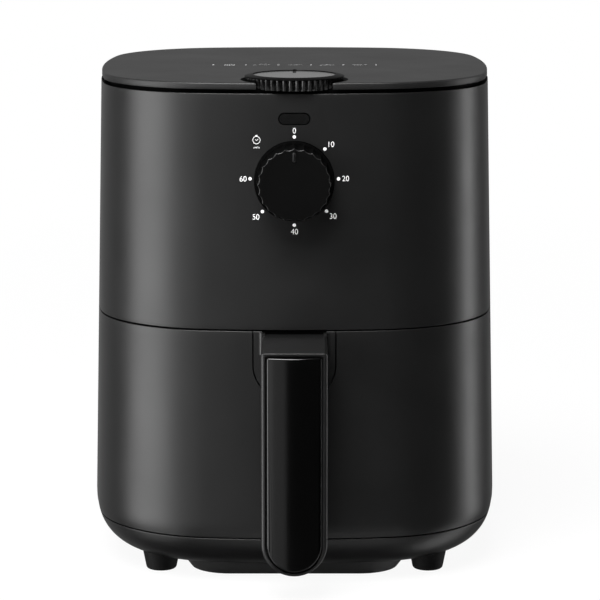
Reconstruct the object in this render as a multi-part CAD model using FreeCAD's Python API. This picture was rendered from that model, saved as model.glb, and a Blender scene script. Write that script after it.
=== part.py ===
import FreeCAD, Part
import math
import os
from FreeCAD import Vector

# Main sizes, in millimetres, with the front of the body towards -Y.
BODY_WIDTH = 265.4
BODY_DEPTH = 272.0
BODY_HEIGHT = 320.0
FRONT_RADIUS = 428.0
SIDE_RADIUS = 428.0
CORNER_RADIUS = 84.0
SIDE_DRAFT = 0.0226
WIDEST_Z = 54.0
BASE_ROUND = 31.4
FOOT_HEIGHT = 9.2
WALL = 2.8

# Seams between the shells.
COVER_THICKNESS = 5.1
SHADOW_GAP = 1.6
UPPER_HEIGHT = 154.2
MID_SEAM_GAP = 1.0
LOW_SEAM_Z = 31.3
LOW_SEAM_GAP = 0.8
SPLIT_Y = -40.0
SPLIT_GAP = 0.8

# Clearances.
FIT = 0.02
RUNNING_FIT = 0.05
MOVING_GAP = 0.3

# Dials and lamp.
TIMER_DROP = 60.7
TIMER_RADIUS = 23.1
TIMER_PROJECTION = 20.0
TIMER_SCALLOPS = 24
TIMER_BODY = 46.0
THERMO_RADIUS = 31.2
THERMO_SETBACK = 31.0
THERMO_FLUTES = 36
SHAFT_RADIUS = 3.0
LENS_DROP = 22.1
LENS_WIDTH = 20.1
LENS_HEIGHT = 7.7

# Handle.
HANDLE_WIDTH = 41.0
HANDLE_REACH = 39.5
HANDLE_CROWN = 2.5
HANDLE_BOTTOM_Z = 18.0
HANDLE_DROP = 5.9
NECK_DROP = 1.8
GRIP_THICKNESS = 13.5
INLAY_MARGIN = 2.6
INLAY_DEPTH = 1.5
MOUNT_WIDTH = 51.0
MOUNT_HEIGHT = 42.4
MOUNT_CORNER = 21.0

# Cooking space.
LINER_SIDE_GAP = 28.7
LINER_REAR_GAP = 28.0
LINER_FRONT_GAP = 46.5
LINER_FLOOR_LIFT = 5.7
LINER_TOP_DROP = 5.8
SHEET = 1.0
PAN_SHEET = 1.5
PAN_CORNER = 48.0
GRID_LIFT = 16.5

# Hot air unit.
DOME_MARGIN = 8.75
DOME_HEIGHT = 66.0
DOME_FLANGE = 6.0
DECK_THICKNESS = 2.5
DECK_BOSS = 10.0
DECK_BOSS_SETBACK = 7.0
HEATER_TUBE = 3.2
HEATER_TURNS = 5
HEATER_WALL_GAP = 5.8
HEATER_LIFT = 18.0
HEATER_BEND = 12.0
FAN_SIDE_GAP = 10.8
FAN_LIFT = 12.0
FAN_HEIGHT = 18.0
FAN_HUB = 8.0
FAN_BLADES = 8
COOLING_RADIUS = 42.0
COOLING_HEIGHT = 11.0

# Motor.
BRACKET_RISE = 17.5
BRACKET_SPAN = 110.0
BRACKET_DEPTH = 30.0
BRACKET_SHEET = 2.5
BRACKET_FOOT = 16.0
PAD_SPACING = 44.0
PAD_SIZE = 8.0
MOTOR_LIFT = 23.5
STACK_HEIGHT = 20.0
STATOR_WIDTH = 64.0
STATOR_FRONT = 22.0
STATOR_REAR = 46.0
STATOR_YOKE = 14.0
STATOR_BORE = 15.0
WINDOW_WIDTH = 32.0
WINDOW_DEPTH = 12.0
COIL_WIDTH = 31.0
COIL_WALL = 8.0
ROTOR_GAP = 0.5
BEARING_SPAN = 52.0
BEARING_DEPTH = 16.0
BEARING_RISE = 6.0
BEARING_HUB = 7.0
CUTOFF_RADIUS = 7.0
CUTOFF_SIDE = 62.0
CUTOFF_SETBACK = 48.0

# Base.
FOOT_SIDE_INSET = 46.2
FOOT_END_INSET = 50.0
FOOT_TIP = 9.6
FOOT_TOP = 12.6
FOOT_SINK = 4.4
FOOT_ROUND = 2.0
SCREW_RADIUS = 2.0
SCREW_HEAD = 3.8
TRAY_WIDTH = 134.0
TRAY_FRONT_GAP = 30.0
TRAY_REAR_GAP = 45.0
TRAY_CORNER = 25.0
TRAY_SPREAD = 9.0
TRAY_SHEET = 2.2
TRAY_LIFT = 1.3
TRAY_SLOTS = 9
TRAY_SLOT_LENGTH = 64.0
TRAY_SLOT_WIDTH = 3.6
TRAY_SLOT_PITCH = 8.0

# Rear.
VENT_WIDTH = 88.0
VENT_HEIGHT = 32.0
CORD_BORE = 3.6
GLAND_FLANGE = 3.0

# Positions worked out from the sizes above.
HALF_W = BODY_WIDTH / 2
HALF_D = BODY_DEPTH / 2
COVER_Z = BODY_HEIGHT - COVER_THICKNESS
HOUSING_TOP = COVER_Z - SHADOW_GAP
MID_SEAM_Z = BODY_HEIGHT - UPPER_HEIGHT
DRAWER_TOP = MID_SEAM_Z - MID_SEAM_GAP
DRAWER_BOTTOM = LOW_SEAM_Z + LOW_SEAM_GAP
TIMER_Z = BODY_HEIGHT - TIMER_DROP
LENS_Z = BODY_HEIGHT - LENS_DROP
THERMO_Y = -HALF_D + THERMO_SETBACK
BASE_FLOOR = FOOT_HEIGHT + WALL

LINER_X = HALF_W - LINER_SIDE_GAP
LINER_Y0 = -HALF_D + LINER_FRONT_GAP
LINER_Y1 = HALF_D - LINER_REAR_GAP
LINER_Z0 = LOW_SEAM_Z + LINER_FLOOR_LIFT
LINER_Z1 = MID_SEAM_Z - LINER_TOP_DROP
LINER_CORNER = PAN_CORNER + 2.0
BEZEL_Y0 = LINER_Y0 + 1.5
BEZEL_WALL = 2.5
BEZEL_Y1 = SPLIT_Y + 4.0
TONGUE_Y = BEZEL_Y1 + 2.0
PANEL_Y1 = LINER_Y0 - 2.0
PANEL_Y0 = PANEL_Y1 - 2.5

PAN_X = LINER_X - 13.0
PAN_Y0 = PANEL_Y1 + 5.5
PAN_Y1 = LINER_Y1 - 14.0
PAN_Z0 = LINER_Z0 + 7.0
PAN_RIM_Z = LINER_Z1 - 13.5
PAN_RIM = 8.0
PAN_FLOOR = PAN_Z0 + PAN_SHEET
GRID_Z = PAN_FLOOR + GRID_LIFT

DOME_Y = (LINER_Y0 + LINER_Y1) / 2
DOME_RADIUS = min(LINER_X, (LINER_Y1 - LINER_Y0) / 2) - DOME_MARGIN
DOME_TOP = LINER_Z1 + DOME_HEIGHT
DECK_TOP = DOME_TOP + DECK_THICKNESS
HEATER_Z = LINER_Z1 + HEATER_LIFT
HEATER_END = DOME_RADIUS - SHEET - HEATER_WALL_GAP - HEATER_TUBE
HEATER_PITCH = HEATER_END / HEATER_TURNS
FAN_RADIUS = HEATER_END - HEATER_TUBE - FAN_SIDE_GAP
FAN_Z = HEATER_Z + FAN_LIFT
VENT_Z0 = DOME_TOP - VENT_HEIGHT - 4.0
GLAND_Z = WIDEST_Z + 14.0

BODY_Y = (HANDLE_REACH + HANDLE_CROWN - GLAND_FLANGE) / 2


def draft(z):
    return (z - WIDEST_Z) * SIDE_DRAFT


def front_y(z):
    return -HALF_D + draft(z)


def box(x0, x1, y0, y1, z0, z1):
    return Part.makeBox(x1 - x0, y1 - y0, z1 - z0, Vector(x0, y0, z0))


def rod_z(radius, z0, z1, x=0.0, y=0.0):
    return Part.makeCylinder(radius, z1 - z0, Vector(x, y, z0), Vector(0, 0, 1))


def rod_y(radius, y0, y1, x, z):
    return Part.makeCylinder(radius, y1 - y0, Vector(x, y0, z), Vector(0, 1, 0))


def fused(shapes):
    return shapes[0].fuse(shapes[1:]).removeSplitter()


def spun(shape, count, centre, axis):
    copies = []
    for i in range(count):
        copy = shape.copy()
        copy.rotate(centre, axis, 360.0 * i / count)
        copies.append(copy)
    return copies


# Closed outline through points, each corner rounded by its own radius.
def outline(points, radii):
    starts = []
    arcs = []
    count = len(points)
    for i in range(count):
        here = Vector(points[i][0], points[i][1], 0)
        back = (Vector(points[i - 1][0], points[i - 1][1], 0) - here).normalize()
        ahead = points[(i + 1) % count]
        on = (Vector(ahead[0], ahead[1], 0) - here).normalize()
        half = back.getAngle(on) / 2
        trim = radii[i] / math.tan(half)
        centre = here + (back + on).normalize() * (radii[i] / math.sin(half))
        middle = here if radii[i] == 0 else centre + (here - centre).normalize() * radii[i]
        starts.append((here + back * trim, here + on * trim))
        arcs.append(middle)
    edges = []
    for i in range(count):
        into, out = starts[i]
        last = starts[i - 1][1]
        if (into - last).Length > 0.001:
            edges.append(Part.makeLine(last, into))
        if radii[i] > 0:
            edges.append(Part.Arc(into, arcs[i], out).toShape())
    return Part.Face(Part.Wire(edges))


def rectangle(u0, u1, v0, v1, low, high):
    return outline([(u0, v0), (u1, v0), (u1, v1), (u0, v1)], [low, low, high, high])


def prism_z(face, z0, z1):
    solid = face.extrude(Vector(0, 0, z1 - z0))
    solid.translate(Vector(0, 0, z0))
    return solid


# A face drawn in x and z, pushed along Y.
def prism_y(face, y0, y1):
    solid = face.extrude(Vector(0, 0, y1 - y0))
    solid.rotate(Vector(0, 0, 0), Vector(1, 0, 0), 90)
    solid.translate(Vector(0, y1, 0))
    return solid


# A face drawn in y and z, pushed along X.
def prism_x(face, x0, x1):
    solid = face.extrude(Vector(0, 0, x1 - x0))
    solid.rotate(Vector(0, 0, 0), Vector(1, 1, 1), 120)
    solid.translate(Vector(x0, 0, 0))
    return solid


# Centre of a corner arc of the plan, with its directions to the long arcs.
def plan_corner():
    front = Vector(0, HALF_D - FRONT_RADIUS, 0)
    side = Vector(HALF_W - SIDE_RADIUS, 0, 0)
    near_front = FRONT_RADIUS - CORNER_RADIUS
    near_side = SIDE_RADIUS - CORNER_RADIUS
    span = (side - front).Length
    along = (side - front) * (1 / span)
    reach = (near_front ** 2 - near_side ** 2 + span ** 2) / (2 * span)
    rise = math.sqrt(near_front ** 2 - reach ** 2)
    corner = front + along * reach + Vector(along.y, -along.x, 0) * rise
    return corner, (corner - front).normalize(), (corner - side).normalize()


# Plan of the body: four long arcs joined by tangent corner arcs.
def plan_wire(inset, z):
    corner, to_front, to_side = plan_corner()
    radius = CORNER_RADIUS - inset
    first = corner + to_front * radius
    second = corner + (to_front + to_side).normalize() * radius
    third = corner + to_side * radius
    front_mid = Vector(0, HALF_D - inset, 0)
    side_mid = Vector(HALF_W - inset, 0, 0)

    def at(point, sx, sy):
        return Vector(point.x * sx, point.y * sy, z)

    arcs = []
    for sx, sy in ((1, -1), (1, 1), (-1, 1), (-1, -1)):
        corner_arc = [at(first, sx, sy), at(second, sx, sy), at(third, sx, sy)]
        if sx == sy:
            arcs.append(corner_arc[::-1])
        else:
            arcs.append(corner_arc)
    mids = [at(side_mid, 1, 1), at(front_mid, 1, 1), at(side_mid, -1, 1), at(front_mid, 1, -1)]
    edges = []
    for i in range(4):
        edges.append(Part.Arc(*arcs[i]).toShape())
        edges.append(Part.Arc(arcs[i][2], mids[i], arcs[(i + 1) % 4][0]).toShape())
    return Part.Wire(edges)


# Whole body with its walls moved inwards and its bottom edge rounded.
def envelope(inset):
    low = FOOT_HEIGHT + inset
    wires = [plan_wire(inset + draft(low), low), plan_wire(inset + draft(BODY_HEIGHT), BODY_HEIGHT)]
    solid = Part.makeLoft(wires, True, True)
    edges = [edge for edge in solid.Edges if edge.BoundBox.ZMax < low + 0.001]
    return solid.makeFillet(BASE_ROUND - inset, edges)


def region(z0, z1, y0=-300.0, y1=300.0):
    return box(-300, 300, y0, y1, z0, z1)


def wall(outer, inner, z0, z1, y0=-300.0, y1=300.0):
    room = region(z0, z1, y0, y1)
    return envelope(outer).common(room).cut(envelope(inner))


def lens_face(grow):
    half_w = LENS_WIDTH / 2 + grow
    half_h = LENS_HEIGHT / 2 + grow
    return rectangle(-half_w, half_w, LENS_Z - half_h, LENS_Z + half_h, half_h, half_h)


def deck_points():
    corner, to_front, to_side = plan_corner()
    reach = CORNER_RADIUS - draft(DOME_TOP) - WALL - DECK_BOSS_SETBACK
    point = corner + (to_front + to_side).normalize() * reach
    x, y = point.x, point.y
    return [(x, y), (-x, y), (-x, -y), (x, -y)]


def upper_housing():
    face = front_y(TIMER_Z)
    shell = wall(0, WALL, MID_SEAM_Z, HOUSING_TOP)
    rim = wall(WALL - 0.8, WALL + 2.0, HOUSING_TOP - 6.0, COVER_Z)
    soffit = envelope(WALL - 0.5).common(region(MID_SEAM_Z, MID_SEAM_Z + 2.5, -300, BEZEL_Y0 + 6.0))
    room = envelope(1.0)
    boss = rod_y(TIMER_RADIUS + 6.5, face - 5.0, face + 10.0, 0, TIMER_Z).common(room)
    solids = [shell, rim, soffit, boss]
    for x, y in deck_points():
        solids.append(rod_z(DECK_BOSS, DOME_TOP - 18.0, DOME_TOP, x, y).common(room))
    body = fused(solids)
    recess = rod_y(TIMER_RADIUS + 2.1, face - 9.0, face + 2.6, 0, TIMER_Z)
    hole = rod_y(SHAFT_RADIUS + 1.0, face - 9.0, face + 12.0, 0, TIMER_Z)
    slot = prism_y(lens_face(FIT), face - 9.0, face + 12.0)
    half = VENT_WIDTH / 2
    vent = box(-half, half, HALF_D - 30.0, HALF_D + 9.0, VENT_Z0, VENT_Z0 + VENT_HEIGHT)
    return body.cut([recess, hole, slot, vent])


def top_cover():
    well_radius = THERMO_RADIUS + 2.5
    floor_z = COVER_Z - 2.3
    wires = [plan_wire(0.4 + draft(COVER_Z), COVER_Z), plan_wire(0.4 + draft(BODY_HEIGHT), BODY_HEIGHT)]
    plate = Part.makeLoft(wires, True, True)
    edges = [edge for edge in plate.Edges if edge.BoundBox.ZMin > BODY_HEIGHT - 0.001]
    plate = plate.makeFillet(1.8, edges)
    pocket = envelope(10.0).common(region(COVER_Z - 1.0, BODY_HEIGHT - 2.6))
    pocket = pocket.cut(rod_z(well_radius + 4.0, COVER_Z - 2.0, BODY_HEIGHT, 0, THERMO_Y))
    floor = rod_z(well_radius + 2.5, floor_z, COVER_Z + 0.3, 0, THERMO_Y)
    floor = floor.common(envelope(WALL + 2.4))
    well = rod_z(well_radius, COVER_Z, BODY_HEIGHT + 1.0, 0, THERMO_Y)
    hole = rod_z(6.0, floor_z - 1.0, BODY_HEIGHT, 0, THERMO_Y)
    return plate.cut(pocket).fuse(floor).cut([well, hole]).removeSplitter()


def rear_housing():
    start = SPLIT_Y + SPLIT_GAP / 2
    shell = wall(0, WALL, DRAWER_BOTTOM, DRAWER_TOP, start)
    foot = wall(WALL - 0.3, WALL + 2.3, DRAWER_TOP - 9.0, DRAWER_TOP - 0.4, TONGUE_Y)
    tongue = wall(WALL + FIT, WALL + 2.3, DRAWER_TOP - 0.4, MID_SEAM_Z + 5.0, TONGUE_Y)
    stop = wall(WALL - 0.3, WALL + 2.3, DRAWER_TOP - 0.4, MID_SEAM_Z, TONGUE_Y)
    gland = rod_y(8.0 + FIT, HALF_D - 20.0, HALF_D + 9.0, 0, GLAND_Z)
    return fused([shell, foot, tongue, stop]).cut(gland)


def foot_points():
    x = HALF_W - FOOT_SIDE_INSET
    y = HALF_D - FOOT_END_INSET
    return {"front_left": (-x, -y), "front_right": (x, -y), "rear_left": (-x, y), "rear_right": (x, y)}


def post_points():
    x = LINER_X - 44.0
    front = BEZEL_Y1 + 14.0
    rear = LINER_Y1 - LINER_CORNER
    return [(x, front), (x, rear), (-x, front), (-x, rear)]


def base_pan():
    shell = wall(0, WALL, FOOT_HEIGHT - 1.0, LOW_SEAM_Z)
    lid = envelope(WALL - 0.5).common(region(LOW_SEAM_Z - 2.5, LOW_SEAM_Z, -300, BEZEL_Y0 + 8.0))
    foot = wall(WALL - 0.3, WALL + 2.3, LOW_SEAM_Z - 8.0, LOW_SEAM_Z - 0.4, TONGUE_Y)
    tongue = wall(WALL + FIT, WALL + 2.3, LOW_SEAM_Z - 0.4, DRAWER_BOTTOM + 5.0, TONGUE_Y)
    solids = [shell, lid, foot, tongue]
    for x, y in post_points():
        solids.append(rod_z(6.0, BASE_FLOOR - 1.0, LINER_Z0, x, y))
    for x, y in foot_points().values():
        solids.append(rod_z(5.5, BASE_FLOOR - 1.0, BASE_FLOOR + 10.0, x, y))
    cuts = [rod_z(40.0, FOOT_HEIGHT - 2.0, BASE_FLOOR + 2.0)]
    for x, y in foot_points().values():
        cuts.append(rod_z(SCREW_RADIUS + FIT, FOOT_HEIGHT - 2.0, BASE_FLOOR + 8.0, x, y))
    return fused(solids).cut(cuts)


def tray(inset, z0, z1):
    x = TRAY_WIDTH / 2 - inset
    y0 = TRAY_FRONT_GAP - HALF_D + inset
    y1 = HALF_D - TRAY_REAR_GAP - inset
    low = rectangle(-x, x, y0, y1, TRAY_CORNER, TRAY_CORNER)
    x += TRAY_SPREAD
    wide = TRAY_CORNER + TRAY_SPREAD
    high = rectangle(-x, x, y0 - TRAY_SPREAD, y1 + TRAY_SPREAD, wide, wide)
    low.translate(Vector(0, 0, z0))
    high.translate(Vector(0, 0, z1))
    return Part.makeLoft([low.OuterWire, high.OuterWire], True, True)


def bottom_cover():
    top = FOOT_HEIGHT + 4.0
    floor = TRAY_LIFT + TRAY_SHEET
    solid = tray(0, TRAY_LIFT, top).cut(tray(TRAY_SHEET, floor, top + TRAY_SHEET))
    solid = solid.cut(envelope(0))
    slots = []
    half = TRAY_SLOT_LENGTH / 2
    for i in range(TRAY_SLOTS):
        y = TRAY_SLOT_PITCH * (i - (TRAY_SLOTS - 1) / 2)
        slots.append(box(-half, half, y - TRAY_SLOT_WIDTH / 2, y + TRAY_SLOT_WIDTH / 2, 0, floor + 2.0))
    return solid.cut(slots)


def foot(x, y):
    cone = Part.makeCone(FOOT_TIP, FOOT_TOP, FOOT_HEIGHT + 6.0, Vector(x, y, 0))
    cone = cone.makeFillet(FOOT_ROUND, [edge for edge in cone.Edges if edge.BoundBox.ZMax < 0.001])
    sink = rod_z(FOOT_SINK, -1.0, FOOT_HEIGHT / 2, x, y)
    hole = rod_z(SCREW_RADIUS + FIT, 0, FOOT_HEIGHT + 8.0, x, y)
    return cone.cut([envelope(0), sink, hole])


def foot_screw(x, y):
    seat = FOOT_HEIGHT / 2
    head = rod_z(SCREW_HEAD, seat - 2.6, seat, x, y)
    shank = rod_z(SCREW_RADIUS, seat, BASE_FLOOR + 7.0, x, y)
    slot = box(x - 3.0, x + 3.0, y - 0.4, y + 0.4, seat - 3.0, seat - 1.6)
    return fused([head, shank]).cut(slot)


def front_bezel():
    outside = envelope(WALL + 1.5).common(region(LOW_SEAM_Z, MID_SEAM_Z, BEZEL_Y0, BEZEL_Y1))
    inside = envelope(WALL + 1.5 + BEZEL_WALL)
    z0 = LOW_SEAM_Z + BEZEL_WALL
    z1 = MID_SEAM_Z - BEZEL_WALL
    inside = inside.common(region(z0, z1, BEZEL_Y0 + BEZEL_WALL, BEZEL_Y1 + 1.0))
    x = LINER_X + FIT
    mouth = box(-x, x, BEZEL_Y0 - 1.0, BEZEL_Y0 + 5.0, LINER_Z0 - FIT, LINER_Z1 + FIT)
    dome = rod_z(DOME_RADIUS + DOME_FLANGE + 0.5, LINER_Z1 - 0.5, MID_SEAM_Z + 1.0, 0, DOME_Y)
    side, z = interlock_line()
    slot = box(side - 2.6, side + 2.6, BEZEL_Y0 - 1.0, BEZEL_Y0 + 5.0, z - 5.0, z + 5.0)
    return outside.cut([inside, mouth, dome, slot])


def liner_face(inset):
    x = LINER_X - inset
    radius = LINER_CORNER - inset
    front = LINER_Y0 - 5.0 * inset
    return rectangle(-x, x, front, LINER_Y1 - inset, 0, radius)


def cooking_liner():
    solid = prism_z(liner_face(0), LINER_Z0, LINER_Z1)
    solid = solid.cut(prism_z(liner_face(SHEET), LINER_Z0 + SHEET, LINER_Z1 - SHEET))
    mouth = rod_z(DOME_RADIUS - 2.0, LINER_Z1 - 3.0, LINER_Z1 + 1.0, 0, DOME_Y)
    return solid.cut(mouth)


def rail(side):
    inner = PAN_X + 4.0
    outer = LINER_X - SHEET - FIT
    x0 = min(side * inner, side * outer)
    x1 = max(side * inner, side * outer)
    top = PAN_RIM_Z - MOVING_GAP
    solid = box(x0, x1, LINER_Y0 + 1.0, LINER_Y1 - LINER_CORNER, top - 8.0, top)
    hollow_x0 = x0 - 1.0 if side > 0 else x0 + 1.5
    hollow_x1 = x1 - 1.5 if side > 0 else x1 + 1.0
    return solid.cut(box(hollow_x0, hollow_x1, -300, 300, top - 9.0, top - 1.2))


def vent_box(grow, y0, y1):
    half = VENT_WIDTH / 2 + grow
    return box(-half, half, y0, y1, VENT_Z0 - grow, VENT_Z0 + VENT_HEIGHT + grow)


def heater_ends():
    return [(-HEATER_END, DOME_Y - HEATER_BEND), (HEATER_END, DOME_Y + HEATER_BEND)]


def hot_air_dome():
    can = rod_z(DOME_RADIUS, LINER_Z1, DOME_TOP, 0, DOME_Y)
    flange = rod_z(DOME_RADIUS + DOME_FLANGE, LINER_Z1, LINER_Z1 + SHEET, 0, DOME_Y)
    room = rod_z(DOME_RADIUS - SHEET, LINER_Z1 - 1.0, DOME_TOP - SHEET, 0, DOME_Y)
    cuts = [room, rod_z(8.0, DOME_TOP - 4.0, DOME_TOP + 1.0, 0, DOME_Y)]
    for x, y in heater_ends():
        cuts.append(rod_z(HEATER_TUBE + 1.3, DOME_TOP - 4.0, DOME_TOP + 1.0, x, y))
    cuts.append(vent_box(-4.0, DOME_Y + 40.0, DOME_Y + DOME_RADIUS + 5.0))
    return fused([can, flange]).cut(cuts)


def exhaust_duct():
    y0 = DOME_Y + 60.0
    y1 = HALF_D + 5.0
    tube = vent_box(-0.5, y0, y1).cut(vent_box(-2.0, y0 - 1.0, y1 + 1.0))
    tube = tube.common(envelope(WALL + 0.2 + FIT))
    return tube.cut(rod_z(DOME_RADIUS + FIT, 0, BODY_HEIGHT, 0, DOME_Y))


def rear_grille():
    skin = envelope(0.3).cut(envelope(WALL + 0.2))
    plate = skin.common(vent_box(-FIT, HALF_D - 30.0, HALF_D + 5.0))
    slots = []
    half = VENT_WIDTH / 2
    count = 5
    pitch = (VENT_HEIGHT - 6.0) / count
    for i in range(count):
        z = VENT_Z0 + 3.0 + pitch * (i + 0.5)
        for x0, x1 in ((-half + 4.0, -1.5), (1.5, half - 4.0)):
            slots.append(box(x0, x1, HALF_D - 30.0, HALF_D + 5.0, z - 1.6, z + 1.6))
    return plate.cut(slots)


def cord_gland():
    z = GLAND_Z
    outer = rod_y(11.0, HALF_D, HALF_D + GLAND_FLANGE, 0, z)
    barrel = rod_y(8.0, HALF_D - 8.0, HALF_D + 1.0, 0, z)
    inner = rod_y(11.0, HALF_D - 9.0, HALF_D - WALL - 0.7, 0, z)
    bore = rod_y(CORD_BORE, HALF_D - 20.0, HALF_D + 9.0, 0, z)
    return fused([outer, barrel, inner]).cut(bore)


def indicator_lens():
    back = front_y(LENS_Z) + WALL + 1.5
    front = envelope(0.3).common(prism_y(lens_face(0), -HALF_D - 9.0, back))
    flange = envelope(WALL + FIT).common(prism_y(lens_face(2.0), -HALF_D - 9.0, back))
    return fused([front, flange])


def indicator_lamp():
    back = front_y(LENS_Z) + WALL + 1.5
    bulb = rod_y(2.5, back, back + 3.0, 0, LENS_Z)
    holder = box(-6.0, 6.0, back + 3.0, back + 7.0, LENS_Z - 3.5, LENS_Z + 3.5)
    return fused([bulb, holder])


def heater_coil():
    step = HEATER_PITCH / 2
    first, second = heater_ends()
    top = DECK_TOP + 9.0
    lean = HEATER_BEND * (1 - math.sqrt(0.5))
    low = HEATER_Z + HEATER_BEND
    edges = [Part.makeLine(Vector(first[0], first[1], top), Vector(first[0], first[1], low))]
    turn = [Vector(first[0], first[1], low), Vector(first[0], first[1] + lean, HEATER_Z + lean)]
    turn.append(Vector(first[0], DOME_Y, HEATER_Z))
    edges.append(Part.Arc(*turn).toShape())
    x = -HEATER_END
    for i in range(2 * HEATER_TURNS):
        radius = step * abs(2 * HEATER_TURNS - 1 - 2 * i)
        upper = i % 2 == 0
        centre = -step if upper else step
        rise = radius if upper else -radius
        end = 2 * centre - x
        arc = [Vector(x, DOME_Y, HEATER_Z), Vector(centre, DOME_Y + rise, HEATER_Z)]
        arc.append(Vector(end, DOME_Y, HEATER_Z))
        edges.append(Part.Arc(*arc).toShape())
        x = end
    turn = [Vector(second[0], DOME_Y, HEATER_Z), Vector(second[0], second[1] - lean, HEATER_Z + lean)]
    turn.append(Vector(second[0], second[1], low))
    edges.append(Part.Arc(*turn).toShape())
    edges.append(Part.makeLine(Vector(second[0], second[1], low), Vector(second[0], second[1], top)))
    path = Part.Wire(edges)
    circle = Part.makeCircle(HEATER_TUBE, Vector(first[0], first[1], top), Vector(0, 0, 1))
    return path.makePipeShell([Part.Wire([circle])], True, False)


def heater_support():
    top = HEATER_Z - HEATER_TUBE - FIT
    arm = box(0, DOME_RADIUS, -4.0, 4.0, top - 1.5, top)
    arms = spun(arm, 3, Vector(0, 0, 0), Vector(0, 0, 1))
    spider = fused(arms + [rod_z(14.0, top - 1.5, top)])
    spider.translate(Vector(0, DOME_Y, 0))
    return spider.common(rod_z(DOME_RADIUS - SHEET - FIT, 0, BODY_HEIGHT, 0, DOME_Y))


def deck():
    plate = envelope(WALL + FIT).common(region(DOME_TOP, DECK_TOP))
    cuts = [rod_z(14.0, DOME_TOP - 1.0, DECK_TOP + 1.0, 0, DOME_Y)]
    for x, y in heater_ends():
        cuts.append(rod_z(HEATER_TUBE + 1.3, DOME_TOP - 1.0, DECK_TOP + 1.0, x, y))
    return plate.cut(cuts)


def motor_bracket():
    z = DECK_TOP + BRACKET_RISE
    half = BRACKET_SPAN / 2
    deep = BRACKET_DEPTH / 2
    thick = BRACKET_SHEET / 2
    foot = BRACKET_FOOT / 2
    pad = PAD_SIZE / 2
    plate = box(-half, half, -deep, deep, z, z + BRACKET_SHEET)
    solids = [plate, rod_z(8.0, z - 2.0, z + 5.0)]
    for side in (-1, 1):
        leg = side * (half - thick)
        seat = side * PAD_SPACING / 2
        solids.append(box(leg - thick, leg + thick, -deep, deep, DECK_TOP, z + 1.0))
        solids.append(box(leg - foot, leg + foot, -deep, deep, DECK_TOP, DECK_TOP + BRACKET_SHEET))
        solids.append(box(seat - pad, seat + pad, -PAD_SIZE, PAD_SIZE, z + 1.0, DECK_TOP + MOTOR_LIFT))
    body = fused(solids).cut(rod_z(SHAFT_RADIUS + RUNNING_FIT, 0, BODY_HEIGHT))
    body.translate(Vector(0, DOME_Y, 0))
    return body


def motor_levels():
    low = DECK_TOP + MOTOR_LIFT
    return low, low + STACK_HEIGHT


def motor_stator():
    z0, z1 = motor_levels()
    half = STATOR_WIDTH / 2
    rear = STATOR_REAR - STATOR_YOKE
    body = box(-half, half, -STATOR_FRONT, STATOR_REAR, z0, z1)
    side = WINDOW_WIDTH / 2
    window = box(-side, side, rear - WINDOW_DEPTH, rear, z0 - 1.0, z1 + 1.0)
    body = body.cut([rod_z(STATOR_BORE, z0 - 1.0, z1 + 1.0), window])
    body.translate(Vector(0, DOME_Y, 0))
    return body


def motor_coil():
    z0, z1 = motor_levels()
    half = COIL_WIDTH / 2
    y0 = STATOR_REAR - STATOR_YOKE
    y1 = STATOR_REAR
    body = box(-half, half, y0 - COIL_WALL, y1 + COIL_WALL, z0 - COIL_WALL, z1 + COIL_WALL)
    body = body.cut(box(-half - 1.0, half + 1.0, y0 - FIT, y1 + FIT, z0 - FIT, z1 + FIT))
    body.translate(Vector(0, DOME_Y, 0))
    return body


def upper_bearing():
    z = motor_levels()[1]
    rise = z + BEARING_RISE
    half = BEARING_SPAN / 2
    deep = BEARING_DEPTH / 2
    solids = [box(-half, half, -deep, deep, rise, rise + BRACKET_SHEET)]
    solids.append(rod_z(BEARING_HUB, rise - 2.0, rise + 5.0))
    for x0, x1 in ((half - BEARING_RISE, half), (-half, BEARING_RISE - half)):
        solids.append(box(x0, x1, -deep, deep, z, rise + 1.0))
    body = fused(solids)
    body = body.cut(rod_z(SHAFT_RADIUS + RUNNING_FIT, 0, BODY_HEIGHT))
    body.translate(Vector(0, DOME_Y, 0))
    return body


def thermal_cutoff():
    x = CUTOFF_SIDE
    y = DOME_Y - CUTOFF_SETBACK
    reach = CUTOFF_RADIUS + 5.0
    disc = rod_z(CUTOFF_RADIUS, DECK_TOP, DECK_TOP + 4.0, x, y)
    tabs = box(x - reach, x + reach, y - 3.0, y + 3.0, DECK_TOP + 3.0, DECK_TOP + 3.8)
    return fused([disc, tabs])


def thermostat_levels():
    top = COVER_Z - 14.9
    return top - 16.0, top


def thermostat_body():
    z0, z1 = thermostat_levels()
    case = box(-15.0, 15.0, THERMO_Y - 12.0, THERMO_Y + 12.0, z0, z1)
    neck = rod_z(9.0, z1 - 1.0, COVER_Z - 2.3, 0, THERMO_Y)
    bush = rod_z(5.5, z1, COVER_Z - 0.4, 0, THERMO_Y)
    tabs = [box(x - 0.4, x + 0.4, THERMO_Y + 11.0, THERMO_Y + 22.0, z0 + 4.0, z0 + 10.0) for x in (-7.0, 7.0)]
    bore = rod_z(SHAFT_RADIUS + RUNNING_FIT, z0 + 4.0, BODY_HEIGHT, 0, THERMO_Y)
    return fused([case, neck, bush] + tabs).cut(bore)


def thermostat_shaft():
    z0 = thermostat_levels()[0]
    return rod_z(SHAFT_RADIUS, z0 + 4.5, BODY_HEIGHT, 0, THERMO_Y)


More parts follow.
